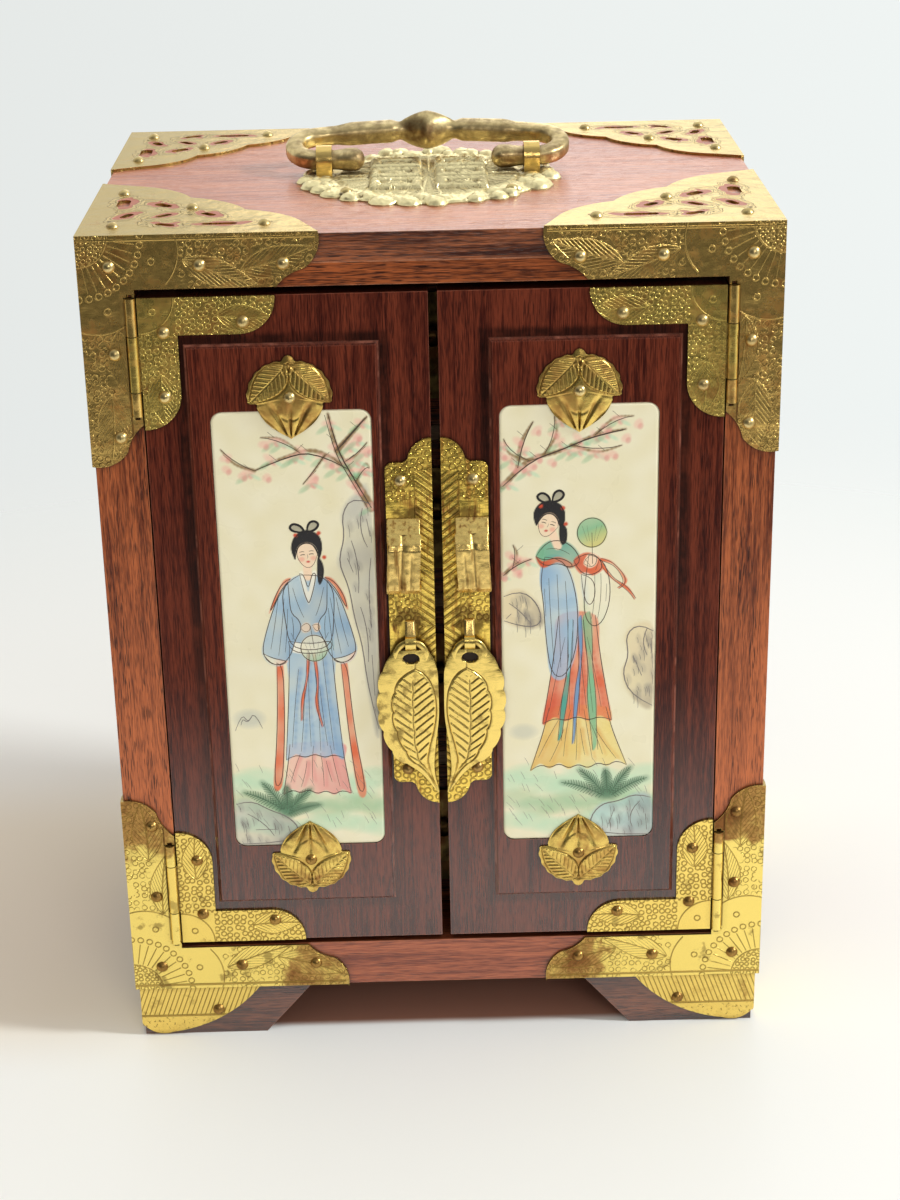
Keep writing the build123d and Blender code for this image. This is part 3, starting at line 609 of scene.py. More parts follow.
# Rays about the origin, between an inner and an outer circle.
def addFan(flat, inner, outer, rays, line=0.15):
    x, y = split(flat)[:2]
    radius = distance(x, y)
    beat = calc("PINGPONG", calc("ARCTAN2", y, x) * (rays / (2 * math.pi)), 0.5)
    return lineMark(beat * radius * (2 * math.pi / rays), line, 1.2) * ((radius > inner) * (radius < outer))


# What the L mounts of the carcass carry: a corner fan, plain brushed metal, two leaves on each arm and small rings.

mountLeaves = [
    {"at": (26.5, 6.5), "turn": 20, "length": 20, "width": 7.0, "bend": 0.5, "veins": 9, "slant": 0.9},
    {"at": (41.0, 9.6), "turn": -18, "length": 19, "width": 7.6, "bend": 0.6, "veins": 10, "slant": 0.8},
    {"at": (9.5, 24.5), "turn": 84, "length": 19, "width": 7.0, "bend": 0.6, "veins": 10, "slant": 0.9},
    {"at": (6.5, 41.5), "turn": 94, "length": 18, "width": 8.4, "bend": -0.6, "veins": 11, "slant": 0.7},
]
mountRings = {"farFromCorner": 25.5, "pitch": 2.0, "arc": 12.5, "arcAt": (13.0, 4.0), "arcFrom": 22.0,
              "quarter": 8.1, "fan": (8.6, 15.0, 40), "beads": 16.3, "small": ((18.7, 6.8), (7.0, 19.5)),
              "smallRadius": 0.8}


# Leaves laid over the other lines, which stop at their outlines.
def combine(flat, leaves, lines):
    for leaf in leaves:
        one = addLeaf(flat, **leaf)
        lines = most(lines * (1.0 - one["Inside"]), one["Mark"])
    return lines


def engraveMount():
    fold = cornerFold()
    flat = fold["Flat"]
    u, v, onTop = split(flat)
    p = mountRings
    # Rings only beyond the plain field, and thinned out into loose groups.
    groups = ramp(stretched(flat, (0.17, 0.17, 1.0)), 0.40, 0.47)
    far = ramp(most(u, v), p["farFromCorner"] - 0.5, p["farFromCorner"] + 0.5)
    # The rings were struck by hand, some hard and some lightly, and those lower down are finer.
    struck = ramp(noise(mapping(flat, location=(3, 8, 1)), 0.30, 1.0), 0.36, 0.58, 0.30, 1.0)
    fine = ramp(fold["Level"], 70.0, 160.0, 0.12, 0.17)
    ground = ringGround(Vector=flat, Pitch=p["pitch"], Line=fine) * (far * (groups * struck))
    quarter = arcMark(Vector=flat, Radius=p["quarter"])
    lines = most(addFan(flat, *p["fan"]), fanBeads(Vector=flat, Radius=p["beads"]), quarter["Mark"],
                 ringGround(Vector=flat, Pitch=1.5) * quarter["Inside"], ground)
    for way in (1, -1):
        x, y = p["arcAt"][::way]
        arc = arcMark(Vector=flat, X=x, Y=y, Radius=p["arc"])["Mark"] * (most(u, v) > p["arcFrom"])
        lines = most(lines, arc)
    for x, y in p["small"]:
        lines = most(lines, arcMark(Vector=flat, X=x, Y=y, Radius=p["smallRadius"])["Mark"])
    bead = ramp(abs(v - 1.2), 0.42, 0.18) * (u < webReach["front"])
    return mixValue(onTop > onTopFlag / 2, most(combine(flat, mountLeaves, lines), bead), webOpenings()[1])


# The webs on top: openings round the pierced slots, as shares of the web's reach, with length, width and turn.
webShapes = [(0.58, 0.16, 14.5, 4.6, 0), (0.35, 0.17, 9.4, 4.8, -25), (0.17, 0.34, 9.0, 4.9, 65),
             (0.14, 0.58, 13.5, 5.8, 90), (0.52, 0.34, 10.0, 4.8, -45), (0.31, 0.53, 11.0, 5.2, -45),
             (0.34, 0.34, 8.4, 4.1, 45)]


def webOpenings():
    fold = cornerFold()
    u, v, onTop = split(fold["Flat"])
    reach = webReach["front"]
    u, v = u * (reach / fold["Reach"]), v * (reach / fold["Reach"])
    # The outlines wander, as sawn or punched ones do.
    shift = (stretched(joinXyz(u, v, 0.0), (0.22, 0.22, 1.0)) - 0.5) * 5.0
    place = joinXyz(u + shift, v + shift, 0.0)
    inside, rim = 0.0, 0.0
    for x, y, length, width, turn in webShapes:
        one = webOpening(Vector=place, X=x * reach + 0.75, Y=y * reach + 0.75, Turn=math.radians(turn),
                         Length=length, Width=width)
        inside, rim = most(inside, one["Inside"]), most(rim, one["Rim"])
    top = onTop > onTopFlag / 2
    return inside * top, rim * top


doorLeaves = [
    {"at": (20, 5.0), "turn": 2, "length": 14, "width": 7.0, "bend": 0.4, "veins": 9, "slant": 0.8},
    {"at": (5.0, 20), "turn": 88, "length": 14, "width": 7.0, "bend": 0.4, "veins": 9, "slant": 0.8},
]


def engraveHingeLeaf():
    x, _, z = split(millimetres())
    u = cabinet["doorOuter"] - abs(x)
    v = least(cabinet["doorTop"] - z, z - cabinet["doorBottom"])
    flat = joinXyz(u, v, 0.0)
    ground = ringGround(Vector=flat) * (most(u, v) > 9.4)
    for x, y, radius in ((0.0, 0.0, 9.2), (3.7, 3.6, 0.8)):
        ground = most(ground, arcMark(Vector=flat, X=x, Y=y, Radius=radius)["Mark"])
    return combine(flat, doorLeaves, ground)


lockPattern = {"bare": (88.0, 127.0), "bareAgain": (141.0, 162.0), "feathers": 4.6, "featherEnd": 44.0}


def engraveLock():
    p = lockPattern
    x, _, z = split(millimetres())
    u, v = abs(x) - cabinet["doorInner"], abs(z - cabinet["lockMiddle"])
    flat = joinXyz(u, v, 0.0)
    first, second, third, fourth = [ramp(z, place, place + 1.0) for place in (*p["bare"], *p["bareAgain"])]
    bare = first * (1.0 - most(second * (1.0 - third), fourth))
    ground = ringGround(Vector=flat, Pitch=2.2, Line=0.20) * (1.0 - bare)
    feather = hatchMark(Vector=mapping(flat, rotation=(0, 0, math.radians(52))), Pitch=1.75, Line=0.42)
    short = v < p["featherEnd"]
    along = (u < p["feathers"]) * short
    border = ramp(abs(u - p["feathers"]), 0.22, 0.08) * short
    return most(feather * along + ground * (1.0 - along), border)


def engraveFoot():
    fold = cornerFold()
    down = cabinet["bottom"] - fold["Level"]
    flat = joinXyz(fold["U"], down, 0.0)
    hatch = hatchMark(Vector=mapping(flat, rotation=(0, 0, math.radians(-20))), Pitch=1.25)
    specks = ramp(noise(flat, 1.1, 2.0), 0.58, 0.72, 0.0, 0.6)
    return most(mixValue(down < 9.3, specks, hatch), ramp(abs(down - 9.6), 0.4, 0.15))


def mountPlace():
    fold = cornerFold()
    u, v, onTop = split(fold["Flat"])
    return {"far": most(u, v), "level": fold["Level"], "onTop": onTop / onTopFlag,
            "low": ramp(fold["Level"], 120.0, 70.0)}


def armEnds(far):
    spots = noise(millimetres(), 0.11, 4.0, 0.6, 0.8)
    return ramp(spots * 16.0 + far, 47.5, 54.0, 0.0, 1.0)


# The mounts are painted duller higher up and brighter lower down, a painted reflection of the dim room in front and the
# bright table below. The lower arms' ends are tarnished too.
def mountDullAndReflection():
    at = mountPlace()
    dull = at["onTop"] * -0.10 + ramp(at["level"], 40.0, 175.0, 0.08, 0.44)
    return armEnds(at["far"]) * at["low"] * 0.5 + dull


# The lower mounts have turned brown at the ends of their arms and in smudges.
def mountSoil():
    at = mountPlace()
    scratched = ramp(noise(millimetres(), 0.8, 4.0, 0.7), 0.40, 0.60, 0.08, 0.42)
    ends = armEnds(at["far"]) * scratched
    smudge = ramp(noise(mapping(millimetres(), location=(8, 3, 21)), 0.13, 4.0, 0.62), 0.585, 0.67, 0.0, 0.60)
    return most(ends, smudge) * at["low"]


# The lower mounts are painted a paler, brighter brass than the upper ones, part of the same painted reflection.
def mountBright():
    at = mountPlace()
    # The web at the right is painted a darker brass than the one at the left, a painted shade against the stronger
    # light on that side.
    aside = ramp(split(millimetres())[0], 0.0, 60.0)
    web = mixColor(aside, (0.71, 0.525, 0.235), (0.60, 0.45, 0.20))
    return mixColor(at["onTop"], mixColor(at["low"], (1.0, 0.665, 0.20), (1.0, 0.77, 0.21)), web)


# The upright arms have turned redder than the level ones, and the ends of the lower arms browner still.
def mountOlive():
    u, v = split(cornerFold()["Flat"])[:2]
    olive = mixColor(ramp(v - u, -4.0, 8.0), (0.78, 0.375, 0.100), (0.73, 0.315, 0.085))
    return mixColor(mountPlace()["low"], olive, (0.56, 0.31, 0.095))


def mountRed():
    return mixColor(mountPlace()["onTop"], (0.27, 0.10, 0.035), (0.52, 0.38, 0.19))


def smudged(low, high, scale=0.13, strongest=0.5):
    def soil():
        spots = noise(mapping(millimetres(), location=(2, 9, 5)), scale, 4.0, 0.62)
        return ramp(spots, low, high, 0.0, strongest)
    return soil


# Old polish has left upright streaks on the lock plates, and they are painted a little duller higher up, a painted
# reflection of the dim room.
def lockDullAndReflection():
    place = millimetres()
    streaks = stretched(place, (0.9, 0.9, 0.09), 3.0, 0.6)
    level = ramp(split(place)[2], 60.0, 190.0, 0.34, 0.39)
    return (streaks - 0.5) * 1.1 + level


# Level, width and height of the dirty and shadowed places on a lock plate.
lockSpots = [(128.5, 6.0, 4.5), (158.0, 5.5, 3.0), (139.0, 5.0, 2.6)]


# Dirt has gathered on the lock plates where the hangers and staples come out of them, and a painted shadow darkens the
# plate just below each staple.
def lockSoilAndShadow():
    x, _, z = split(millimetres())
    spots = noise(mapping(millimetres(), location=(2, 9, 5)), 0.28, 4.0, 0.65)
    near = 0.0
    for level, wide, tall in lockSpots:
        away = distance((z - level) / tall, (abs(x) - 8.0) / wide)
        near = most(near, ramp(away, 1.3, 0.4, 0.0, 0.22))
    return ramp(spots + near, 0.56, 0.74, 0.0, 0.85)


# The nails are browner and darker lower down.
def nailTint(lower, upper):
    return lambda: mixColor(ramp(levelOf(), 60.0, 165.0), lower, upper)


lowDirt = fadeUpwards(75.0, 170.0, 0.90, 0.10)


def makeDeepShade():
    material, shader = startMaterial("deepShade")
    plugAll(shader, Base_Color=(0.025, 0.014, 0.008), Roughness=0.8)
    return material


deepShade = makeDeepShade()
brasses = {
    "mount": makeBrass("brassMounts", mountDullAndReflection, engraveMount, 0.00036, pierced=webOpenings, dirt=lowDirt,
                       bright=mountBright, olive=mountOlive, red=mountRed, soil=mountSoil, barrels=True,
                       grazing=(0.91, 0.875, 0.75)),
    # The hinge leaves are painted duller higher up, a painted reflection of the dim room.
    "hinge": makeBrass("brassHingeLeaves", fadeUpwards(40.0, 175.0, 0.16, 0.46), engraveHingeLeaf, 0.00036,
                       dirt=lowDirt, bright=(1.0, 0.74, 0.19), olive=(0.70, 0.37, 0.095), soil=smudged(0.60, 0.70),
                       barrels=True),
    "lock": makeBrass("brassLockPlates", lockDullAndReflection, engraveLock, 0.0007, dirt=0.85, soil=lockSoilAndShadow,
                      bright=(1.0, 0.71, 0.145), olive=(0.62, 0.32, 0.065)),
    "foot": makeBrass("brassFootMounts", 0.36, engraveFoot, 0.0005, dirt=0.9, soil=smudged(0.54, 0.68)),
    "staple": makeBrass("brassStaples", lockDullAndReflection, hollows=(0.44, 0.495), roughShift=0.04, bright=(1.0, 0.71, 0.235),
                        olive=(0.46, 0.25, 0.07)),
    "nail": makeBrass("brassNails", 0.46, bright=nailTint((0.46, 0.27, 0.075), (0.80, 0.62, 0.28)),
                      olive=nailTint((0.20, 0.105, 0.03), (0.50, 0.36, 0.14)), roughShift=0.07),
    "leaf": makeBrass("brassLeafPulls", 0.32, hollows=(0.455, 0.498), soil=smudged(0.53, 0.68, 0.17, 0.70),
                      bright=(1.0, 0.74, 0.21), olive=(0.58, 0.34, 0.09)),
    # The clips are a little duller higher up, a painted reflection too.
    "clip": makeBrass("brassPeachClips", fadeUpwards(60.0, 190.0, 0.48, 0.50), hollows=(0.44, 0.495),
                      olive=(0.56, 0.31, 0.085), soil=smudged(0.57, 0.69, 0.20, 0.45)),
    "cast": makeBrass("brassCastPlate", 0.32, roughShift=0.16, bright=(1.0, 0.86, 0.48), olive=(0.76, 0.58, 0.30),
                      hollows=(0.43, 0.487), corners=0.55),
    "bar": makeBrass("brassHandle", 0.50, roughShift=0.08, bright=(0.88, 0.69, 0.34), olive=(0.40, 0.29, 0.14),
                     hollows=(0.44, 0.49), depth=0.0005, red=(0.20, 0.10, 0.045), soil=smudged(0.52, 0.66, 0.10, 0.45)),
    "strap": makeBrass("brassStraps", 0.38, bright=(0.95, 0.66, 0.22), olive=(0.45, 0.28, 0.08)),
    "pin": makeBrass("brassHingePins", 0.6),
    # The drawer mounts are a very dark brass, a painted shade for their place deep behind the doors.
    "inner": makeBrass("brassDrawerMounts", 0.55, bright=(0.40, 0.27, 0.09), olive=(0.13, 0.08, 0.03), roughShift=0.15),
}


def makePlaqueCream():
    material, shader = startMaterial("paintedPlaque")
    color = mixColor(noise(millimetres(), 0.06, 3.0), (0.83, 0.77, 0.62), (0.87, 0.82, 0.69))
    plugAll(shader, Base_Color=color, Roughness=0.32)
    shader.inputs["Coat Weight"].default_value = 0.3
    return material


plaqueCream = makePlaqueCream()
drawerWood = makeDrawerWood()


def materialFor(name):
    if name.startswith("drawer_"):
        if name.endswith("front"):
            return woods["rail"]
        if name.endswith(("plate", "pull")):
            return brasses["inner"]
        return drawerWood
    table = [("top_board", woods["top"]), ("front_stiles", woods["stile"]),
             ("front_rail_bottom", woods["lowRail"]), ("front_rail", woods["rail"]),
             ("side_panel", woods["side"]), ("back_panel", woods["side"]), ("bottom_board", woods["rail"]),
             ("feet_", woods["foot"]), ("door_nails", brasses["nail"]), ("door_", woods["door"]),
             ("corner_", brasses["mount"]), ("foot_mounts", brasses["foot"]), ("carcass_nails", brasses["nail"]),
             ("handle_plate", brasses["cast"]), ("handle_straps", brasses["strap"]), ("hinge_pins", brasses["pin"]),
             ("carry_handle", brasses["bar"]), ("plaque_clips", brasses["clip"]), ("plaque", plaqueCream),
             ("hinge_leaves", brasses["hinge"]), ("lock_plate", brasses["lock"]), ("lock_staple", brasses["staple"]),
             ("pull_loop", brasses["leaf"]), ("leaf_pull", brasses["leaf"])]
    for start, material in table:
        if name.startswith(start):
            return material
    return drawerWood


for name, node in nodes.items():
    node.data.materials.clear()
    node.data.materials.append(materialFor(name))
print("materials are on", len(nodes), "nodes")


# Cast and stamped brass whose relief is too fine for the plain solids. Each starts as a grid that a formula shapes.

def reliefPiece(name, across, along, place, backAxis, backPlace):
    bpy.ops.mesh.primitive_grid_add(x_subdivisions=across, y_subdivisions=along, size=2.0, location=(0, 0, 0))
    piece = bpy.context.object
    piece.name = name
    for vertex in piece.data.vertices:
        vertex.co = Vector(place(vertex.co.x, vertex.co.y)) * mm
    bpy.ops.object.mode_set(mode="EDIT")
    bpy.ops.mesh.select_all(action="DESELECT")
    bpy.ops.mesh.select_non_manifold()
    bpy.ops.mesh.extrude_edges_move()
    flat, centre = [1.0, 1.0, 1.0], [0.0, 0.0, 0.0]
    flat[backAxis] = 0.0
    centre[backAxis] = backPlace * mm
    bpy.ops.transform.resize(value=flat, center_override=centre)
    bpy.ops.mesh.edge_face_add()
    bpy.ops.mesh.select_all(action="SELECT")
    bpy.ops.mesh.normals_make_consistent(inside=False)
    bpy.ops.object.mode_set(mode="OBJECT")
    return piece


def finishPiece(piece, material, body, replaced=None, angle=40.0):
    activate(piece)
    piece.data.materials.clear()
    piece.data.materials.append(material)
    bpy.ops.object.shade_smooth_by_angle(angle=math.radians(angle))
    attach(piece, body)
    if replaced:
        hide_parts(replaced)


def mirrorCopy(piece, name):
    activate(piece)
    bpy.ops.object.duplicate()
    twin = bpy.context.object
    twin.name = name
    for vertex in twin.data.vertices:
        vertex.co.x = -vertex.co.x
    twin.data.flip_normals()
    return twin


def joinPieces(*pieces):
    activate(*pieces)
    bpy.ops.object.join()
    return pieces[0]


# The piece for the right side and its mirror copy for the left.
def finishBoth(right, leftName, material, body, replaced=None, angle=40.0):
    pair = {"right": right, "left": mirrorCopy(right, leftName)}
    for side, piece in pair.items():
        finishPiece(piece, material, f"{side}_{body}", replaced and f"{replaced}_{side}", angle)
    return pair


# A smooth value through the points, which are (place, value) pairs in rising order.
def through(points, place):
    if place <= points[0][0]:
        return points[0][1]
    for i in range(len(points) - 1):
        (x0, y0), (x1, y1) = points[i], points[i + 1]
        if place <= x1:
            before, after = points[max(i - 1, 0)], points[min(i + 2, len(points) - 1)]
            span = x1 - x0
            slope0 = (y1 - before[1]) / max(x1 - before[0], 1e-6) * span
            slope1 = (after[1] - y0) / max(after[0] - x0, 1e-6) * span
            t = (place - x0) / span
            return ((2 * t**3 - 3 * t**2 + 1) * y0 + (t**3 - 2 * t**2 + t) * slope0
                    + (3 * t**2 - 2 * t**3) * y1 + (t**3 - t**2) * slope1)
    return points[-1][1]


def bell(away, width):
    return math.exp(-(away / width) ** 2)


def groove(away, depth, width):
    return depth * bell(away, width)


def step(value, low, high):
    t = min(max((value - low) / (high - low), 0.0), 1.0)
    return t * t * (3 - 2 * t)


# A place on the square grid, moved onto a round disc.
def onDisc(u, v):
    return u * math.sqrt(1 - v * v / 2), v * math.sqrt(1 - u * u / 2)


# Leaf pull: a scalloped outer edge, a smooth inner edge and a veined leaf raised between them.

leafPull = {
    "pivot": (7.9, -65.175, 122.5), "top": 2.2, "tip": 45.0, "back": 0.5, "rim": 0.15, "crown": 0.55,
    "outer": [(2.2, 4.4), (3.6, 5.4), (5.0, 6.4), (6.5, 7.1), (8.6, 7.8), (11.5, 8.3), (16.5, 8.8), (22.8, 8.6),
              (28.8, 7.0), (34.0, 4.4), (39.0, -1.9), (45.0, -6.4)],
    "inner": [(2.2, -4.4), (3.6, -5.2), (5.0, -6.0), (6.5, -6.5), (9.0, -7.0), (13.0, -7.1), (22.0, -7.1), (31.0, -6.0),
              (38.5, -5.6), (45.0, -6.8)],
    "hole": (4.6, 2.35, 1.55), "holeSunk": 0.25, "leafMiddle": -0.19, "leafHalf": 0.71, "leafProud": 0.20,
    "rimLine": (0.26, 0.30),
    "leafSwell": [(7.6, 0.0), (9.0, 0.42), (12.0, 0.80), (17.0, 1.0), (26.0, 0.96), (33.0, 0.72), (38.0, 0.40),
                  (41.5, 0.0)],
    "lobe": 5.9, "lobeFrom": 8.5, "lobeTo": 36.0, "lobeProud": 0.75,
    "midrib": -0.15, "midribLine": (0.30, 0.30), "midribFrom": (10.0, 12.0), "midribTo": (40.0, 44.0),
    "veinPitch": 2.25, "veinRise": 0.80, "veinDepth": 0.24, "veinWidth": 0.17,
    "veinsFrom": (9.0, 11.0), "veinsTo": (34.0, 37.0),
    "ringRadius": 4.0, "ringBar": 0.92, "ringFlat": 0.55,
}


# Above nought inside the hole that the hanger passes through.
def holeShare(x, down):
    middle, wide, tall = leafPull["hole"]
    return 1.0 - (x / wide) ** 2 - ((down - middle) / tall) ** 2


def shapeLeafPull(u, v):
    p = leafPull
    down = p["top"] + (1 - v) / 2 * (p["tip"] - p["top"])
    outer, inner = through(p["outer"], down), through(p["inner"], down)
    if p["lobeFrom"] < down < p["lobeTo"]:
        outer += p["lobeProud"] * abs(math.sin(math.pi * (down - p["lobeFrom"]) / p["lobe"])) ** 0.7
    middle, half = (outer + inner) / 2, (outer - inner) / 2
    x = middle + u * half
    rib = middle + p["midrib"] * half
    height = p["rim"] + p["crown"] * (1 - u * u) ** 0.8 * min(half / 5.0, 1.0)
    edge = (p["leafHalf"] * through(p["leafSwell"], down) - abs(u - p["leafMiddle"])) * half
    height += p["leafProud"] * step(edge, -0.15, 0.35) - groove(edge, *p["rimLine"])
    beat = ((down + p["veinRise"] * abs(x - rib)) / p["veinPitch"]) % 1.0 - 0.5
    reach = step(edge, 0.3, 0.8) * step(abs(x - rib), 0.2, 0.5)
    inVeins = step(down, *p["veinsFrom"]) * (1 - step(down, *p["veinsTo"]))
    height -= groove(beat * p["veinPitch"], p["veinDepth"], p["veinWidth"]) * reach * inVeins
    height -= groove(x - rib, *p["midribLine"]) * step(down, *p["midribFrom"]) * (1 - step(down, *p["midribTo"]))
    sunk = step(holeShare(x, down), 0.0, 0.3)
    height = height * (1 - sunk) - p["holeSunk"] * sunk
    px, py, pz = p["pivot"]
    return px + x, py - height, pz - down


def makeLeafPulls():
    p = leafPull
    right = reliefPiece("leafPullRight", 96, 250, shapeLeafPull, 1, p["pivot"][1] + p["back"])
    bpy.ops.mesh.primitive_torus_add(major_segments=72, minor_segments=20, major_radius=p["ringRadius"] * mm,
                                     minor_radius=p["ringBar"] * mm, rotation=(math.pi / 2, 0, 0))
    ring = bpy.context.object
    bpy.ops.object.transform_apply(location=False, rotation=True, scale=False)
    px, py, pz = p["pivot"]
    for vertex in ring.data.vertices:
        vertex.co = Vector((vertex.co.x, vertex.co.y * p["ringFlat"], vertex.co.z))
        vertex.co += Vector((px, py, pz - p["ringRadius"])) * mm
    pair = finishBoth(joinPieces(right, ring), "leafPullLeft", brasses["leaf"], "pull", "leaf_pull")
    for piece, s in ((pair["right"], 1), (pair["left"], -1)):
        piece.data.materials.append(deepShade)
        for face in piece.data.polygons:
            x, y, z = face.center * 1000.0
            if py - 0.1 < y < py + 0.4 and holeShare(s * x - px, pz - z) > 0.02:
                face.material_index = 1


# Hanger strap: it comes out of the lock plate above each pull and bends down over its ring.

hanger = {"half": 1.42, "low": 1.0, "high": 5.9, "outward": 1.72, "lockFace": -63.675, "strip": 0.45}


def shapeHanger(u, v):
    p = hanger
    px, py, pz = leafPull["pivot"]
    share = (v + 1) / 2
    up = p["low"] + (p["high"] - p["low"]) * share
    near, far = py - p["outward"], p["lockFace"] - p["strip"]
    round_ = 0.16 * max(0.0, abs(u) - 0.75) / 0.25 + 0.30 * max(0.0, v - 0.9) / 0.1
    return px + u * p["half"] * (1 - 0.10 * share), near + (far - near) * share ** 0.75 + round_, pz + up


def makeHangers():
    right = reliefPiece("pullHangerRight", 14, 30, shapeHanger, 1, hanger["lockFace"] + 0.3)
    finishBoth(right, "pullHangerLeft", brasses["strap"], "door")


# Peach clip: two veined leaves under a bud, and folds that run together in the fruit's tip.

peachClip = {
    "x": 37.15, "high": 191.55, "low": 57.55, "face": -63.925, "rim": 0.45, "crown": 1.05,
    "outline": [(-90, 11.4), (-84, 10.7), (-65, 9.7), (-40, 9.2), (-18, 8.9), (-12, 8.8), (-9.5, 10.5), (-4, 10.9),
                (15, 10.8), (38, 10.5), (58, 10.1), (72, 9.7), (80, 9.6), (84, 10.3), (90, 10.9)],
    "leafStart": (0.6, 8.2), "leafEnd": (10.2, -1.4), "leafWide": 7.6, "leafProud": 0.30, "leafLine": (0.22, 0.24),
    "veinPitch": 1.45, "veinRise": 0.8, "vein": (0.22, 0.24), "midrib": (0.20, 0.2),
    "bud": (0.0, 7.3), "budProud": (0.75, 0.12, 0.3), "budLines": ((0.0, 0.16, 0.35), (1.45, 0.16, 0.25)),
    "tip": -12.6, "folds": 15.0, "foldDepth": 0.55, "navel": (-3.2, 3.0, 0.25, 0.35), "ripple": (0.012, 22.0),
}


def clipRelief(x, z):
    p = peachClip
    side = abs(x)
    (ax, az), (bx, bz) = p["leafStart"], p["leafEnd"]
    length = math.hypot(bx - ax, bz - az)
    ux, uz = (bx - ax) / length, (bz - az) / length
    along = ((side - ax) * ux + (z - az) * uz) / length
    off = (side - ax) * -uz + (z - az) * ux
    relief = 0.0
    if -0.1 < along < 1.15:
        share = min(max(along, 0.0), 1.0)
        half = p["leafWide"] / 2 * math.sin(math.pi * min(share ** 0.75, 1.0)) ** 0.8
        edge = half - abs(off)
        relief += p["leafProud"] * step(edge, -0.1, 0.3) - groove(edge, *p["leafLine"])
        beat = ((along * length - p["veinRise"] * abs(off)) / p["veinPitch"]) % 1.0 - 0.5
        relief -= groove(beat * p["veinPitch"], *p["vein"]) * step(edge, 0.2, 0.6) * step(abs(off), 0.15, 0.5)
        relief -= groove(off, *p["midrib"]) * step(edge, 0.0, 0.5)
    budAway = math.hypot(x - p["bud"][0], z - p["bud"][1])
    swell, *lines = [groove(budAway - ring, *line) for ring, *line in (p["budProud"], *p["budLines"])]
    relief += swell - sum(lines)
    fold = 0.5 - 0.5 * math.cos(math.atan2(x, z - p["tip"]) * p["folds"])
    relief -= p["foldDepth"] * (1 - fold) ** 4 * (1 - step(z, -4.5, -0.5)) * step(z + 11.4, 0.2, 1.6)
    level, ring, *line = p["navel"]
    relief -= groove(math.hypot(x, z - level) - ring, *line) * (1 - step(z, -6.0, -3.4)) * 0.6
    return relief


def shapeClip(u, v, turned):
    p = peachClip
    px, pz = onDisc(u, v)
    share = math.hypot(px, pz)
    angle = math.degrees(math.atan2(pz, abs(px)))
    reach = share * through(p["outline"], angle)
    if angle > -6:
        reach *= 1 + p["ripple"][0] * math.sin(math.radians(angle) * p["ripple"][1]) * share
    x = reach * px / max(share, 1e-6)
    z = reach * pz / max(share, 1e-6)
    height = p["rim"] + p["crown"] * (1 - share ** 2.4) + clipRelief(x, z) * step(1.0 - share, 0.0, 0.05)
    return x + p["x"], p["face"] - height, (p["low"] - z) if turned else (p["high"] + z)


def makeClips():
    p = peachClip
    upper = reliefPiece("peachClipsRight", 118, 118, lambda u, v: shapeClip(u, v, False), 1, p["face"])
    lower = reliefPiece("lowerClip", 118, 118, lambda u, v: shapeClip(-u, v, True), 1, p["face"])
    finishBoth(joinPieces(upper, lower), "peachClipsLeft", brasses["clip"], "door", "plaque_clips")


# Cast plate under the handle: a rim of knobbly cloud lumps round raised key blocks on a hatched ground.

castPlate = {
    "centre": (0.0, -1.175), "bottom": 233.5, "ground": 0.95, "groundEdge": 24.6, "rimFloor": 0.75, "rim": 33.0,
    "columns": (-8.9, 8.9), "rows": (-13.6, -0.6, 12.4), "block": (14.2, 10.8), "bar": 2.9, "blockProud": 1.30,
    "lumpRows": ((32.6, 27, 3.35, 2.25), (28.4, 24, 2.60, 1.95), (30.6, 19, 2.30, 2.15)), "hatchPitch": 1.5,
    "hatchDepth": 0.30, "core": (3.6, 1.7), "coreShare": 0.85, "lumpsFrom": 22.0, "outlineSteps": 720,
}


def scatterLumps():
    picker = random.Random(4)
    lumps = []
    for ring, count, size, proud in castPlate["lumpRows"]:
        for i in range(count):
            angle = 2 * math.pi * (i + 0.75 * (picker.random() - 0.5) + ring) / count
            place = ring + 1.2 * (picker.random() - 0.5)
            lumps.append((place * math.cos(angle), place * math.sin(angle), size * (0.70 + 0.46 * picker.random()),
                          proud * (0.72 + 0.28 * picker.random())))
    return lumps


rimLumps = scatterLumps()


def keyBlock(x, y):
    p = castPlate
    raised = 0.0
    for bx in p["columns"]:
        for by in p["rows"]:
            dx, dy = abs(x - bx), abs(y - by)
            off = max(dx - p["block"][0] / 2, dy - p["block"][1] / 2) + p["bar"] / 2
            ridge = max(0.0, 1.0 - (2 * off / p["bar"]) ** 2) ** 0.5
            core = max(0.0, 1.0 - (dx / p["core"][0]) ** 2 - (dy / p["core"][1]) ** 2) ** 0.5
            raised = max(raised, ridge, p["coreShare"] * core)
    return raised


def castHeight(x, y):
    p = castPlate
    away = math.hypot(x, y)
    small = noiseTools.noise(Vector((x * 0.9, y * 0.9, 4.0)))
    beat = ((x + y) / p["hatchPitch"]) % 1.0 - 0.5
    ground = p["ground"] + p["hatchDepth"] * (1 - 4 * abs(abs(beat) - 0.25)) + p["blockProud"] * keyBlock(x, y)
    edge = step(away, p["groundEdge"] - 0.4, p["groundEdge"] + 0.4)
    height = ground * (1 - edge) + p["rimFloor"] * edge
    if away > p["lumpsFrom"]:
        for lx, ly, size, proud in rimLumps:
            near = math.hypot(x - lx, y - ly) / size
            if near < 1.0:
                height = max(height, proud * (1 - near ** 2.4) ** 0.6)
    return height + (0.10 + 0.16 * edge) * small


# The rim runs round the outside of the outer lumps.
def castReach(angle):
    reach = castPlate["rim"]
    ux, uy = math.cos(angle), math.sin(angle)
    for lx, ly, size, _ in rimLumps:
        along, aside = lx * ux + ly * uy, lx * uy - ly * ux
        if along > 0 and abs(aside) < size:
            reach = max(reach, along + math.sqrt(size ** 2 - aside ** 2))
    return reach


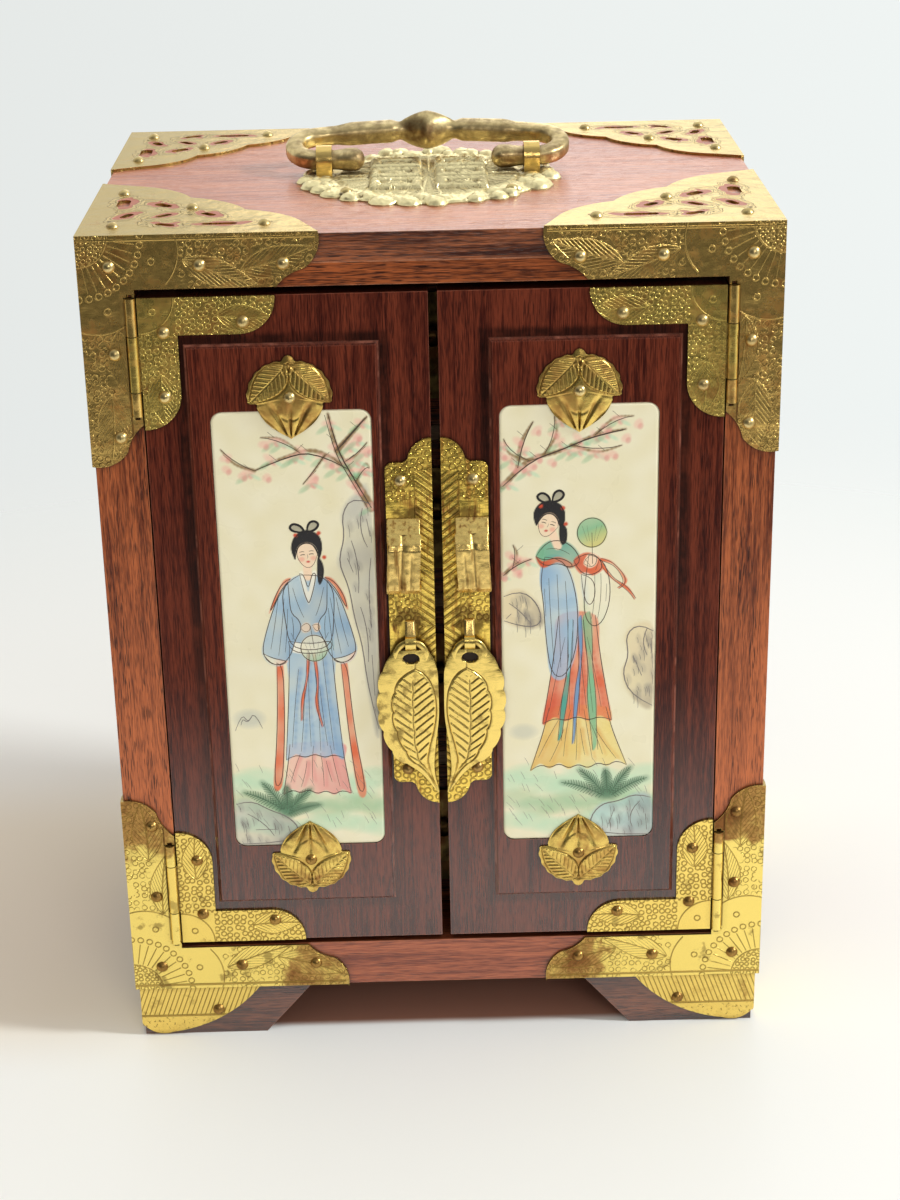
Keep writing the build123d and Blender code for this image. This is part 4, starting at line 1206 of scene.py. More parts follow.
castOutline = [castReach(2 * math.pi * i / castPlate["outlineSteps"]) for i in range(castPlate["outlineSteps"] + 1)]


def shapeCastPlate(u, v):
    p = castPlate
    px, py = onDisc(u, v)
    turn = (math.atan2(py, px) / (2 * math.pi)) % 1.0 * p["outlineSteps"]
    low = int(turn) % p["outlineSteps"]
    radius = castOutline[low] + (castOutline[low + 1] - castOutline[low]) * (turn - int(turn))
    x, y = px * radius, py * radius
    height = max(castHeight(x, y) * (1 - 0.6 * step(math.hypot(px, py), 0.985, 1.0)), 0.2)
    return p["centre"][0] + x, p["centre"][1] + y, p["bottom"] + height


def makeCastPlate():
    plate = reliefPiece("castHandlePlate", 240, 240, shapeCastPlate, 2, castPlate["bottom"])
    finishPiece(plate, brasses["cast"], "cabinet", "handle_plate")


# A worn, rounded copy of a plain solid, with the unevenness of casting or hand filing.

def wornCopy(node, name, voxel, smooth, pits, scale):
    piece = addObject(name, nodes[node].data.copy())
    piece.matrix_world = nodes[node].matrix_world
    activate(piece)
    bpy.ops.object.mode_set(mode="EDIT")
    bpy.ops.mesh.select_all(action="SELECT")
    bpy.ops.mesh.remove_doubles(threshold=1e-6)
    bpy.ops.object.mode_set(mode="OBJECT")
    applyModifier(piece, "REMESH", mode="VOXEL", voxel_size=voxel * mm)
    applyModifier(piece, "SMOOTH", iterations=smooth, factor=0.5)
    normals = [vertex.normal.copy() for vertex in piece.data.vertices]
    for vertex, normal in zip(piece.data.vertices, normals):
        amount = noiseTools.noise(vertex.co * 1000.0 * scale) + 0.5 * noiseTools.noise(vertex.co * 2600.0 * scale)
        vertex.co += normal * (amount - 0.4) * pits * mm
    return piece


# Between the bead and the bends the bar is stouter, and the bead is a soft, wide, low lozenge.

handleShape = {"soft": (5.5, 10.0), "softening": 60, "stouter": 0.55, "stoutFrom": (4.0, 10.0),
               "stoutTo": (21.0, 26.0), "bead": (4.5, 11.0), "wider": 0.24, "thinner": 0.08, "lower": 0.10}


def makeHandle():
    p = handleShape
    handle = wornCopy("carry_handle", "carryBail", 0.40, 4, 0.05, 0.30)
    vertices = handle.data.vertices
    bead = handle.vertex_groups.new(name="bead")
    for vertex in vertices:
        bead.add([vertex.index], 1 - step(abs(vertex.co.x), *(place * mm for place in p["soft"])), "REPLACE")
    applyModifier(handle, "SMOOTH", vertex_group="bead", iterations=p["softening"], factor=0.5)
    vertices = handle.data.vertices
    normals = [vertex.normal.copy() for vertex in vertices]
    near = [vertex.co for vertex in vertices if abs(vertex.co.x) < 2.0 * mm]
    middle = sum(near, Vector()) / len(near)
    for vertex, normal in zip(vertices, normals):
        away = abs(vertex.co.x) / mm
        vertex.co += normal * p["stouter"] * mm * step(away, *p["stoutFrom"]) * (1 - step(away, *p["stoutTo"]))
        share = 1 - step(away, *p["bead"])
        vertex.co.x *= 1 + p["wider"] * share
        vertex.co.y += (middle.y - vertex.co.y) * p["thinner"] * share
        vertex.co.z += (middle.z - vertex.co.z) * p["lower"] * share
    finishPiece(handle, brasses["bar"], "bail", "carry_handle")


# Each line on a staple's front: where it lies, its depth and its width.
staple = {"front": -70.45, "reliefBefore": -67.5, "fold": (9.4, 0.55, 0.55), "crease": (151.3, 0.40, 0.45),
          "lap": (7.0, 0.35, 0.5), "lapTo": (148.0, 150.0), "lean": 0.05, "middle": 147.8}


def makeStaples():
    p = staple
    right = wornCopy("lock_staple_right", "lockStapleRight", 0.26, 2, 0.06, 0.5)
    for vertex in right.data.vertices:
        x, y, z = vertex.co * 1000.0
        if y < p["reliefBefore"]:
            fold, crease, lap = [groove(place - line[0], *line[1:]) for place, line in
                                 ((x, p["fold"]), (z, p["crease"]), (x, p["lap"]))]
            cut = fold + crease + lap * (1 - step(z, *p["lapTo"]))
            vertex.co.y += cut * mm
            vertex.co.x += (p["middle"] - z) * p["lean"] * mm
        vertex.co.y = max(vertex.co.y, p["front"] * mm)
    finishBoth(right, "lockStapleLeft", brasses["staple"], "door", "lock_staple", 60.0)


for makePieces in (makeLeafPulls, makeHangers, makeClips, makeCastPlate, makeHandle, makeStaples):
    makePieces()
print("relief brass is made")


# Painted plaques: soft washes of colour kept on the points of a fine grid, with the ink lines laid over them.
# Places are in millimetres from the plaque's middle, to the right and up.

plaqueSize = {"x": 37.15, "z": 124.55, "face": -63.925, "back": -61.8, "halfWide": 20.65, "halfTall": 63.0,
              "corner": 3.0, "edgeRound": 0.7, "edgeDrop": 0.30, "across": 164, "along": 500}


def toned(red, green, blue):
    return tuple((c / 255.0 / 12.92) if c <= 10 else (((c / 255.0) + 0.055) / 1.055) ** 2.4 for c in (red, green, blue))


paints = {name: toned(*tint) for name, tint in {
    "cream": (232, 223, 184), "ivory": (240, 234, 206), "blue": (164, 194, 214), "deepBlue": (108, 148, 190),
    "coral": (226, 104, 56), "vermilion": (206, 70, 34), "pink": (240, 184, 168), "rose": (222, 138, 132),
    "teal": (72, 160, 142), "green": (128, 186, 140), "mint": (186, 222, 188), "yellow": (236, 212, 120),
    "amber": (222, 172, 84), "hair": (24, 20, 24), "skin": (246, 216, 184), "cheek": (236, 150, 126),
    "lip": (204, 56, 44), "sand": (214, 186, 132), "rock": (168, 170, 168), "darkRock": (116, 112, 112),
    "bark": (146, 118, 78), "fern": (84, 128, 96), "haze": (186, 190, 178), "white": (248, 244, 226),
}.items()}


# A smooth line through the points, closed or open.
def smoothLine(points, closed, steps=6):
    count, line = len(points), []
    for i in range(count if closed else count - 1):
        def at(k):
            return points[k % count] if closed else points[min(max(k, 0), count - 1)]
        a, b, c, d = at(i - 1), at(i), at(i + 1), at(i + 2)
        for k in range(steps):
            t = k / steps
            line.append(tuple(0.5 * (2 * b[n] + (c[n] - a[n]) * t + (2 * a[n] - 5 * b[n] + 4 * c[n] - d[n]) * t * t
                                     + (3 * b[n] - a[n] - 3 * c[n] + d[n]) * t ** 3) for n in (0, 1)))
    return line if closed else line + [points[-1]]


def toLine(px, pz, line, closed):
    nearest = numpy.full(px.shape, 1e9)
    inside = numpy.zeros(px.shape, bool)
    pairs = list(zip(line, line[1:] + line[:1])) if closed else list(zip(line, line[1:]))
    for (ax, az), (bx, bz) in pairs:
        dx, dz = bx - ax, bz - az
        t = numpy.clip(((px - ax) * dx + (pz - az) * dz) / max(dx * dx + dz * dz, 1e-9), 0.0, 1.0)
        nearest = numpy.minimum(nearest, numpy.hypot(px - ax - t * dx, pz - az - t * dz))
        if closed and dz != 0:
            crosses = ((az > pz) != (bz > pz)) & (px < ax + (pz - az) * dx / dz)
            inside ^= crosses
    return numpy.where(inside, -nearest, nearest) if closed else nearest


class Painting:
    def __init__(self, px, pz, seed):
        self.px, self.pz = px, pz
        self.cloud = numpy.array([noiseTools.noise(Vector((x * 0.16, z * 0.16, seed))) for x, z in zip(px, pz)])
        self.color = numpy.empty((len(px), 3))
        self.color[:] = paints["cream"]
        self.blend(paints["ivory"], 0.5 + 0.5 * self.cloud)

    def blend(self, tint, share):
        share = numpy.clip(share, 0.0, 1.0)[:, None]
        self.color = self.color * (1 - share) + numpy.array(tint) * share

    # A filled shape. Its paint pools towards the darker tint along one side.
    def wash(self, points, tint, strength=1.0, soft=0.22, pool=None, lean=(1, 0)):
        line = smoothLine(points, True)
        xs, zs = [p[0] for p in line], [p[1] for p in line]
        near = ((self.px > min(xs) - 3) & (self.px < max(xs) + 3) & (self.pz > min(zs) - 3) & (self.pz < max(zs) + 3))
        away = numpy.full(self.px.shape, 9.0)
        away[near] = toLine(self.px[near], self.pz[near], line, True)
        cover = numpy.clip(0.5 - away / (2 * soft), 0.0, 1.0) * strength
        self.blend(paints[tint], cover * (0.88 + 0.35 * self.cloud))
        if pool:
            middleX, middleZ = sum(xs) / len(xs), sum(zs) / len(zs)
            size = max(max(xs) - min(xs), max(zs) - min(zs)) / 2
            side = ((self.px - middleX) * lean[0] + (self.pz - middleZ) * lean[1]) / size
            self.blend(paints[pool], cover * numpy.clip(0.75 * side + 0.10 + 0.3 * self.cloud, 0.0, 0.75))

    def stroke(self, points, wide, tint, strength=1.0, soft=0.2, taper=True):
        line = smoothLine(points, False)
        for i in range(len(line) - 1):
            share = i / (len(line) - 1)
            width = wide * (1 - 0.7 * share) if taper else wide
            (ax, az), (bx, bz) = line[i], line[i + 1]
            near = (abs(self.px - ax) < 4) & (abs(self.pz - az) < 4)
            away = toLine(self.px[near], self.pz[near], [(ax, az), (bx, bz)], False)
            cover = numpy.zeros(self.px.shape)
            cover[near] = numpy.clip((width / 2 + soft - away) / (2 * soft), 0.0, 1.0) * strength
            self.blend(paints[tint], cover)

    def dab(self, x, z, wide, tall, tint, strength=0.8, turn=0.0):
        c, s = math.cos(math.radians(turn)), math.sin(math.radians(turn))
        dx, dz = self.px - x, self.pz - z
        away = numpy.hypot((dx * c + dz * s) / wide, (dz * c - dx * s) / tall)
        self.blend(paints[tint], numpy.clip(1.25 - away ** 2, 0.0, 1.0) * strength)


# Both scenes: a lady in a court robe beneath a blossoming branch, beside a garden rock. Each garment is listed as
# outline, tint and the tint that pools along one side of it.

leftLady = {
    "lean": (1, -0.2),
    "back": [
        ([(-6.8, -7.6), (-5.2, -7.8), (-5.3, -20), (-5.9, -32), (-7.0, -44.2), (-9.4, -45.0), (-7.9, -31), (-7.1, -18)],
         "coral", "coral"),
        ([(10.4, -7.8), (12.0, -7.4), (12.7, -20), (13.8, -32), (16.0, -46.6), (13.7, -47.4), (12.0, -32), (11.0, -18)],
         "coral", "coral"),
    ],
    "skirts": [
        {"top": ((-4.4, -32), (9.8, -32)), "bottom": ((-6.8, -46.6), (11.8, -46.8)), "waves": 4, "depth": 1.0,
         "tint": "pink", "pool": "rose", "folds": 7},
        {"top": ((-3.2, -3), (8.0, -3)), "bottom": ((-5.6, -36.0), (10.2, -35.6)), "waves": 3, "depth": 0.9,
         "tint": "blue", "pool": "deepBlue", "folds": 7},
    ],
    "robes": [
        ([(0.4, 17.6), (-2.6, 16.0), (-4.6, 12.6), (-4.0, 5), (-3.2, -3), (2.6, -4.4), (8.2, -3), (9.0, 5), (9.4, 12.6),
          (7.4, 16.2), (4.8, 17.6)], "blue", "deepBlue"),
        ([(-3.4, -1.4), (2.6, -2.6), (8.2, -1.2), (8.2, -4.2), (2.6, -5.4), (-3.5, -4.2)], "white", "teal"),
        ([(-2.8, 15.6), (-5.4, 12), (-7.6, 6.4), (-9.6, 0.2), (-10.6, -4.6), (-8.8, -7.8), (-5.6, -8.4), (-3.0, -5.8),
          (-1.6, -1.0), (0.4, 2.2), (-0.4, 5.0), (-2.4, 6.6), (-2.6, 11)], "blue", "deepBlue"),
        ([(7.6, 15.8), (10.4, 12), (12.2, 6.6), (13.9, 0.4), (14.8, -4.2), (13.2, -7.4), (10.0, -8.2), (7.4, -5.6),
          (6.0, -0.8), (4.4, 2.4), (5.4, 5.2), (7.2, 6.8), (7.4, 11)], "blue", "deepBlue"),
        ([(-10.4, -4.8), (-8.8, -7.8), (-5.6, -8.4), (-3.8, -7.2), (-5.8, -6.8), (-8.4, -6.0)], "ivory", "pink"),
        ([(14.6, -4.6), (13.2, -7.4), (10.0, -8.2), (8.0, -6.8), (10.2, -6.6), (12.8, -5.8)], "ivory", "pink"),
        ([(-2.0, 16.6), (-4.6, 13.9), (-6.6, 9.4), (-8.2, 6.8), (-6.4, 11.6), (-4.0, 16.0)], "coral", "coral"),
        ([(7.0, 16.8), (9.6, 14.1), (11.4, 10), (12.8, 7.4), (11.9, 11.8), (9.2, 16.2)], "coral", "coral"),
        ([(0.4, 18.0), (1.2, 13.0), (2.3, 9.6), (2.7, 9.6), (3.8, 13.0), (4.9, 18.0), (3.7, 18.2), (2.5, 12.8),
          (1.5, 18.2)], "white", "white"),
    ],
    "ribbons": [([(1.8, -4.6), (1.2, -12), (-0.4, -19), (-0.8, -25)], 0.9, "coral"),
                ([(3.2, -4.8), (4.0, -13), (3.4, -20), (4.8, -27)], 0.9, "coral")],
    "face": {"at": (2.6, 22.8), "wide": 2.35, "tall": 3.15, "turn": 5.0}, "neck": [(2.5, 20.6), (2.6, 17.0)],
    "hair": [[(-0.1, 21.8), (-0.9, 24.6), (0.2, 27.6), (2.8, 28.8), (5.4, 27.4), (6.0, 24.4), (5.2, 21.6), (4.9, 23.8),
              (4.0, 25.3), (2.5, 25.8), (1.0, 25.2), (0.2, 23.8)],
             [(5.0, 22.2), (6.1, 20.4), (6.0, 17.4), (5.1, 15.6), (4.7, 18.0)]],
    "loops": [[(2.0, 28.2), (-1.2, 28.4), (-2.8, 30.0), (-1.4, 31.6), (1.2, 30.6), (2.4, 28.6)],
              [(2.8, 28.4), (3.0, 31.0), (5.0, 32.4), (7.0, 31.2), (6.0, 29.2), (3.6, 28.2)]],
    "blooms": [(0.2, 27.6), (5.4, 28.0), (6.4, 22.2)],
    "hands": [[(0.0, 2.4), (1.2, 3.9), (2.6, 3.3), (2.5, 1.5), (0.9, 1.0)],
              [(3.2, 3.1), (4.8, 3.7), (5.3, 2.1), (4.0, 1.1)]],
    "fan": {"at": (3.4, -3.6), "radius": 3.7, "stalk": [(2.6, 3.0), (3.4, -3.6)], "tint": "ivory", "pool": "green"},
    "folds": [[(-5.6, 11), (-6.6, 4), (-8.2, -3.6)], [(-4.0, 11), (-4.8, 3), (-6.2, -5.6)],
              [(-3.2, 8), (-3.6, 1), (-4.4, -4.6)], [(-2.2, 5.6), (-1.6, 2.6), (-2.2, -1)],
              [(9.8, 11), (10.8, 4), (12.6, -3.4)], [(8.2, 11), (9.2, 3), (10.6, -5.4)],
              [(7.6, 8), (8.0, 1), (8.6, -4.4)], [(6.8, 5.8), (6.2, 2.8), (6.6, -0.8)],
              [(-1.6, 14), (-0.6, 9), (1.0, 5.4)], [(6.6, 14), (5.6, 9), (4.2, 5.8)],
              [(-2.6, 1), (-1.6, -1.4)], [(7.4, 1), (6.4, -1.2)]],
}

rightLady = {
    "lean": (-1, -0.2),
    "back": [
        ([(2.6, 21.4), (6.0, 20.6), (8.2, 15), (8.4, 8), (6.4, 1.8), (3.6, 0.4), (1.4, 4), (1.4, 12)],
         "ivory", "green"),
    ],
    "skirts": [
        {"top": ((-8.0, -23), (7.4, -23)), "bottom": ((-13.2, -41.0), (13.2, -40.2)), "waves": 5, "depth": 1.2,
         "tint": "yellow", "pool": "amber", "folds": 9},
        {"top": ((-5.4, 4), (4.4, 4)), "bottom": ((-9.8, -27.0), (9.0, -26.0)), "waves": 3, "depth": 1.0,
         "tint": "coral", "pool": "vermilion", "folds": 8},
    ],
    "robes": [
        ([(-9.0, 21.0), (-4.4, 20.8), (-1.4, 14), (0.0, 4), (-0.8, -7), (-3.8, -14.2), (-7.4, -13.2), (-8.8, -3),
          (-9.4, 8), (-10.4, 15)], "blue", "deepBlue"),
        ([(-11.4, 21.2), (-9.4, 24.6), (-5.8, 26.0), (-1.6, 24.0), (0.8, 19.4), (-2.4, 17.6), (-5.6, 19.4),
          (-9.6, 18.0)], "teal", "green"),
        ([(-11.4, 21.2), (-9.6, 18.0), (-5.6, 19.4), (-2.4, 17.6), (-1.4, 18.8), (-5.4, 21.0), (-9.4, 19.8)], "coral",
         "vermilion"),
        ([(-1.4, 19.8), (1.6, 22.0), (5.0, 21.0), (6.6, 17.6), (3.6, 15.4), (0.2, 16.2)], "coral", "vermilion"),
        ([(0.6, 15.8), (3.6, 15.2), (4.6, 10.4), (3.2, 6.4), (1.2, 8.8)], "ivory", "blue"),
    ],
    "ribbons": [([(-2.2, 3), (-2.4, -10), (-4.0, -22), (-5.2, -33)], 1.7, "teal"),
                ([(0.2, 4), (0.6, -8), (-0.6, -20), (-1.4, -34)], 1.3, "deepBlue"),
                ([(2.0, 5), (3.0, -8), (3.6, -22), (4.6, -36)], 2.6, "green"),
                ([(5.6, 20.0), (9.2, 18.6), (12.4, 13.8), (10.4, 11.6)], 0.9, "coral"),
                ([(6.0, 18.8), (8.6, 14.8), (12.8, 11.6), (15.0, 8.4)], 0.9, "coral")],
    "face": {"at": (-8.0, 29.8), "wide": 2.35, "tall": 3.1, "turn": -18.0}, "neck": [(-7.0, 27.6), (-5.6, 24.0)],
    "hair": [[(-10.6, 29.6), (-11.2, 32.4), (-9.8, 34.8), (-7.0, 35.4), (-4.6, 33.8), (-4.2, 30.8), (-5.2, 28.6),
              (-5.8, 31.0), (-6.9, 32.3), (-8.4, 32.4), (-9.6, 31.4)],
             [(-5.2, 30.2), (-3.8, 28.6), (-3.9, 25.6), (-5.0, 25.0), (-5.5, 27.6)]],
    "loops": [[(-7.8, 34.8), (-10.6, 35.4), (-12.0, 37.4), (-10.0, 38.8), (-7.8, 37.4), (-7.2, 35.2)],
              [(-7.0, 35.2), (-6.8, 38.0), (-4.6, 39.4), (-2.8, 37.8), (-4.0, 35.8), (-6.2, 35.0)]],
    "blooms": [(-9.6, 34.2), (-4.6, 33.6), (-4.0, 29.8)],
    "hands": [[(1.2, 19.0), (2.6, 21.6), (4.8, 21.2), (4.6, 18.6), (2.8, 17.6)]],
    "fan": {"at": (3.4, 27.6), "radius": 4.0, "stalk": [(3.6, 18.8), (3.4, 27.6)], "tint": "green", "pool": "yellow"},
    "folds": [[(-8.0, 15), (-7.6, 3), (-6.6, -10)], [(-5.8, 16), (-5.2, 3), (-4.8, -11)],
              [(-3.6, 14), (-2.8, 3), (-2.8, -9)], [(-9.2, 12), (-8.8, 4)], [(5.8, 16), (6.2, 9), (5.0, 3)],
              [(4.2, 16), (4.4, 8), (3.4, 3)], [(7.4, 13), (7.2, 8)],
              [(-8.6, 23.2), (-5.6, 24.0), (-2.4, 21.6)], [(1.6, 20.2), (3.0, 18.2)], [(5.4, 19.8), (4.4, 17.0)]],
}


def waved(start, end, waves, depth):
    count, line = waves * 2, []
    for i in range(count + 1):
        swing = depth * (1 if i % 2 else -1) * (0.7 + 0.3 * math.sin(i * 2.3))
        line.append((start[0] + (end[0] - start[0]) * i / count, start[1] + (end[1] - start[1]) * i / count + swing))
    return line


def paintSkirt(art, ink, skirt, lean):
    (ax, az), (bx, bz) = skirt["top"]
    (cx, cz), (dx, dz) = skirt["bottom"]
    hem = waved((cx, cz), (dx, dz), skirt["waves"], skirt["depth"])
    leftSide = [(ax + (cx - ax) * t ** 1.3, az + (cz - az) * t) for t in (0.0, 0.35, 0.7)]
    rightSide = [(bx + (dx - bx) * t ** 1.3, bz + (dz - bz) * t) for t in (0.7, 0.35, 0.0)]
    art.wash(leftSide + hem + rightSide, skirt["tint"], 0.92, 0.20, skirt["pool"], lean)
    ink["brown"] += [(leftSide + hem[:1], 0.8), (hem, 0.85), (rightSide[::-1] + hem[-1:], 0.8)]
    for i in range(1, skirt["folds"]):
        t = i / skirt["folds"] + 0.03 * math.sin(i * 5.1)
        start = (ax + (bx - ax) * (0.5 + (t - 0.5) * 0.8), az + (cz - az) * (0.04 + 0.16 * (i % 3)))
        end = (cx + (dx - cx) * t, cz + (dz - cz) * t + 1.6 + 1.4 * (i % 2))
        bow = ((start[0] + end[0]) / 2 + 0.5 * math.sin(i * 3.7), (start[1] + end[1]) / 2)
        ink["brown"].append(([start, bow, end], 0.55))
        art.stroke([(start[0] + 0.5, start[1]), (bow[0] + 0.6, bow[1]), (end[0] + 0.8, end[1])], 1.1, skirt["pool"],
                   0.40, 0.5)


def paintRibbon(art, ink, points, wide, tint):
    line = smoothLine(points, False, 5)
    sides = ([], [])
    for i, (x, z) in enumerate(line):
        (ax, az), (bx, bz) = line[max(i - 1, 0)], line[min(i + 1, len(line) - 1)]
        length = max(math.hypot(bx - ax, bz - az), 1e-6)
        nx, nz = -(bz - az) / length, (bx - ax) / length
        half = wide * (0.35 + 0.15 * math.sin(i * 0.8))
        sides[0].append((x + nx * half, z + nz * half))
        sides[1].append((x - nx * half, z - nz * half))
    art.wash((sides[0] + sides[1][::-1])[::2], tint, 1.15, 0.16)
    for side in sides:
        ink["brown"].append((side[::3] + side[-1:], 0.5))


# The head is enlarged about the top of the neck, and the loops of hair are made smaller about their roots. The face
# is an oval with these half sizes.
headGrowth, loopShare = 1.18, 0.66
faceWide, faceTall = 2.05, 2.75


def paintLady(art, ink, lady):
    brown = ink["brown"]

    def robe(outline, tint, pool):
        art.wash(outline, tint, 0.92, 0.20, pool, lady["lean"])
        brown.append((outline + outline[:1], 0.75))

    for part in lady["back"]:
        robe(*part)
    for skirt in lady["skirts"]:
        paintSkirt(art, ink, skirt, lady["lean"])
    for points, wide, tint in lady["ribbons"]:
        paintRibbon(art, ink, points, wide, tint)
    for part in lady["robes"]:
        robe(*part)
    brown += [(line, 0.6) for line in lady["folds"]]
    fan = lady["fan"]
    fx, fz = fan["at"]
    ring = [(fx + fan["radius"] * math.cos(a * math.pi / 6), fz + 1.06 * fan["radius"] * math.sin(a * math.pi / 6))
            for a in range(12)]
    art.wash(ring, fan["tint"], 0.9, 0.2, fan["pool"], (0.4, -1))
    brown.append((ring + ring[:1], 0.75))
    brown.append((fan["stalk"], 0.9))
    for k in (-2, -1, 1, 2):
        brown.append(([(fx + k * 1.3, fz + 2.0), (fx + k * 0.6, fz - 2.4)], 0.35))
    for hand in lady["hands"]:
        art.wash(hand, "skin", 1.0, 0.14)
        brown.append((hand + hand[:1], 0.5))
    art.stroke(lady["neck"], 2.1, "skin", 1.0, 0.2, False)
    face = lady["face"]
    neckX, neckZ = lady["neck"][0]

    def grown(points):
        return [(neckX + (px - neckX) * headGrowth, neckZ + (pz - neckZ) * headGrowth) for px, pz in points]

    (x, z), turn = grown([face["at"]])[0], math.radians(face["turn"])

    def onFace(a, b):
        a, b = headGrowth * a * face["wide"] / faceWide, headGrowth * b * face["tall"] / faceTall
        return (x + a * math.cos(turn) - b * math.sin(turn), z + a * math.sin(turn) + b * math.cos(turn))

    # A plain oval with brows, eyes, nose and mouth on the usual thirds.
    oval = [onFace(faceWide * math.cos(a * math.pi / 5) * (1.0 if math.sin(a * math.pi / 5) > -0.1 else 0.84),
                   faceTall * math.sin(a * math.pi / 5)) for a in range(10)]
    art.wash(oval, "skin", 1.0, 0.15)
    for side in (-1, 1):
        cheek = onFace(side * 1.15, -0.75)
        art.dab(cheek[0], cheek[1], 0.9, 0.75, "cheek", 0.55)
        brown.append(([onFace(side * 0.45, 0.72), onFace(side * 0.9, 0.92), onFace(side * 1.4, 0.70)], 0.7))
        brown.append(([onFace(side * 0.40, 0.10), onFace(side * 0.85, 0.28), onFace(side * 1.32, 0.08)], 1.0))
    brown.append(([onFace(0.05, 0.2), onFace(0.2, -0.55), onFace(-0.05, -0.66)], 0.4))
    mouth = onFace(0.05, -1.38)
    art.dab(mouth[0], mouth[1], 0.58, 0.34, "lip", 1.0)
    brown.append((oval + oval[:1], 0.45))
    for lock in map(grown, lady["hair"]):
        art.wash(lock, "hair", 1.5, 0.12)
        ink["black"].append((lock + lock[:1], 1.0))
    for loop in map(grown, lady["loops"]):
        baseX, baseZ = loop[0]
        loop = [(baseX + (lx - baseX) * loopShare, baseZ + (lz - baseZ) * loopShare) for lx, lz in loop]
        art.wash(loop, "hair", 0.55, 0.12)
        ink["black"].append((loop + loop[:1], 2.2))
    for bx, bz in grown(lady["blooms"]):
        art.dab(bx, bz, 0.65, 0.65, "vermilion", 1.0)


def paintBranch(art, ink, limbs, seed):
    count = 0
    for points, wide in limbs:
        art.stroke(points, wide * 1.25, "bark", 0.80, 0.22)
        ink["brown"].append((points, 1.25 if wide > 0.8 else 0.95))
        if wide > 1.2:
            ink["brown"].append(([(x - wide * 0.45, z - 0.3) for x, z in points], 0.8))
        line = smoothLine(points, False, 4)
        for i in range(1, len(line), 2):
            count += 1
            jitter = noiseTools.noise(Vector((count * 1.7, seed, 0.5)))
            other = noiseTools.noise(Vector((count * 1.3, seed + 5.0, 2.5)))
            x, z = line[i][0] + 3.2 * jitter, line[i][1] - 1.3 + 2.6 * other
            art.dab(x, z, 1.9 + other, 1.2, "pink", 0.55, 90 * jitter)
            art.dab(x + 0.6, z - 0.7, 0.8, 1.0, "rose", 0.50, 60 * other)
            if other > 0.0:
                art.dab(x - 1.6, z - 1.5, 2.2, 0.8, "green", 0.45, 35)
                art.dab(x + 1.8, z - 1.0, 1.8, 0.6, "mint", 0.6, -30)
            if i % 4 == 1:
                ink["brown"].append(([line[i], (line[i][0] + 1.8 * (1 if jitter > 0 else -1), line[i][1] + 1.6)], 0.6))


def paintRock(art, ink, outline, cracks, seed, tint="rock"):
    art.wash(outline, tint, 0.50, 0.6, "darkRock", (1, -0.5))
    ink["grey"] += [(line, 1.1) for line in [outline] + cracks]
    # Short dry strokes give the stone its grain.
    xs, zs = [x for x, z in outline], [z for x, z in outline]
    picker = random.Random(seed)
    for i in range(34):
        x = min(xs) + (max(xs) - min(xs)) * picker.random()
        z = min(zs) + (max(zs) - min(zs)) * picker.random()
        if toLine(numpy.array([x]), numpy.array([z]), smoothLine(outline, True, 3), True)[0] > -0.6:
            continue
        reach = 1.2 + 2.4 * picker.random()
        ink["grey"].append(([(x, z), (x + 0.5, z - reach * 0.5), (x + 0.3, z - reach)], 0.6))
        art.dab(x + 0.5, z - 0.5, 0.9, 1.8, "darkRock", 0.22, 10)


def paintFern(art, ink, stems):
    for x, z, angle, length in stems:
        a = math.radians(angle)
        ux, uz = math.cos(a), math.sin(a)
        rib = [(x + ux * length * t, z + uz * length * t + 0.16 * length * math.sin(math.pi * t * 0.62)) for t in
               (0.0, 0.25, 0.5, 0.75, 1.0)]
        ink["green"].append((rib, 0.8))
        art.stroke(rib, 2.6, "fern", 0.30, 0.9)
        line = smoothLine(rib, False, 4)
        for i in range(1, len(line)):
            share = i / len(line)
            size = 1.9 * math.sin(math.pi * min(share + 0.12, 1.0)) ** 0.6
            px, pz = line[i]
            for side in (-1, 1):
                b = a + side * 1.05 - 0.2 * share
                ink["green"].append(([(px, pz), (px + size * math.cos(b), pz + size * math.sin(b))], 1.0))


def paintGround(art, ink, low, seed):
    for i in range(8):
        x = -19 + 5.4 * i
        art.dab(x, low + 2.2 * math.sin(i * 1.9), 7.0, 3.4, "mint", 0.60)
        art.dab(x + 2.5, low - 7 + 1.6 * math.cos(i * 2.3), 6.5, 3.4, "green", 0.42)
        art.dab(x + 1.5, low - 13 + 1.2 * math.cos(i * 1.3), 6.0, 3.0, "mint", 0.50)
    picker = random.Random(seed)
    for i in range(46):
        x, z = -19 + 38 * picker.random(), low + 5 - 19 * picker.random()
        slant = 0.5 + 1.1 * picker.random()
        ink["grey"].append(([(x, z), (x - slant * 0.5, z + 1.2), (x - slant * 1.3, z + 2.4)], 0.45))


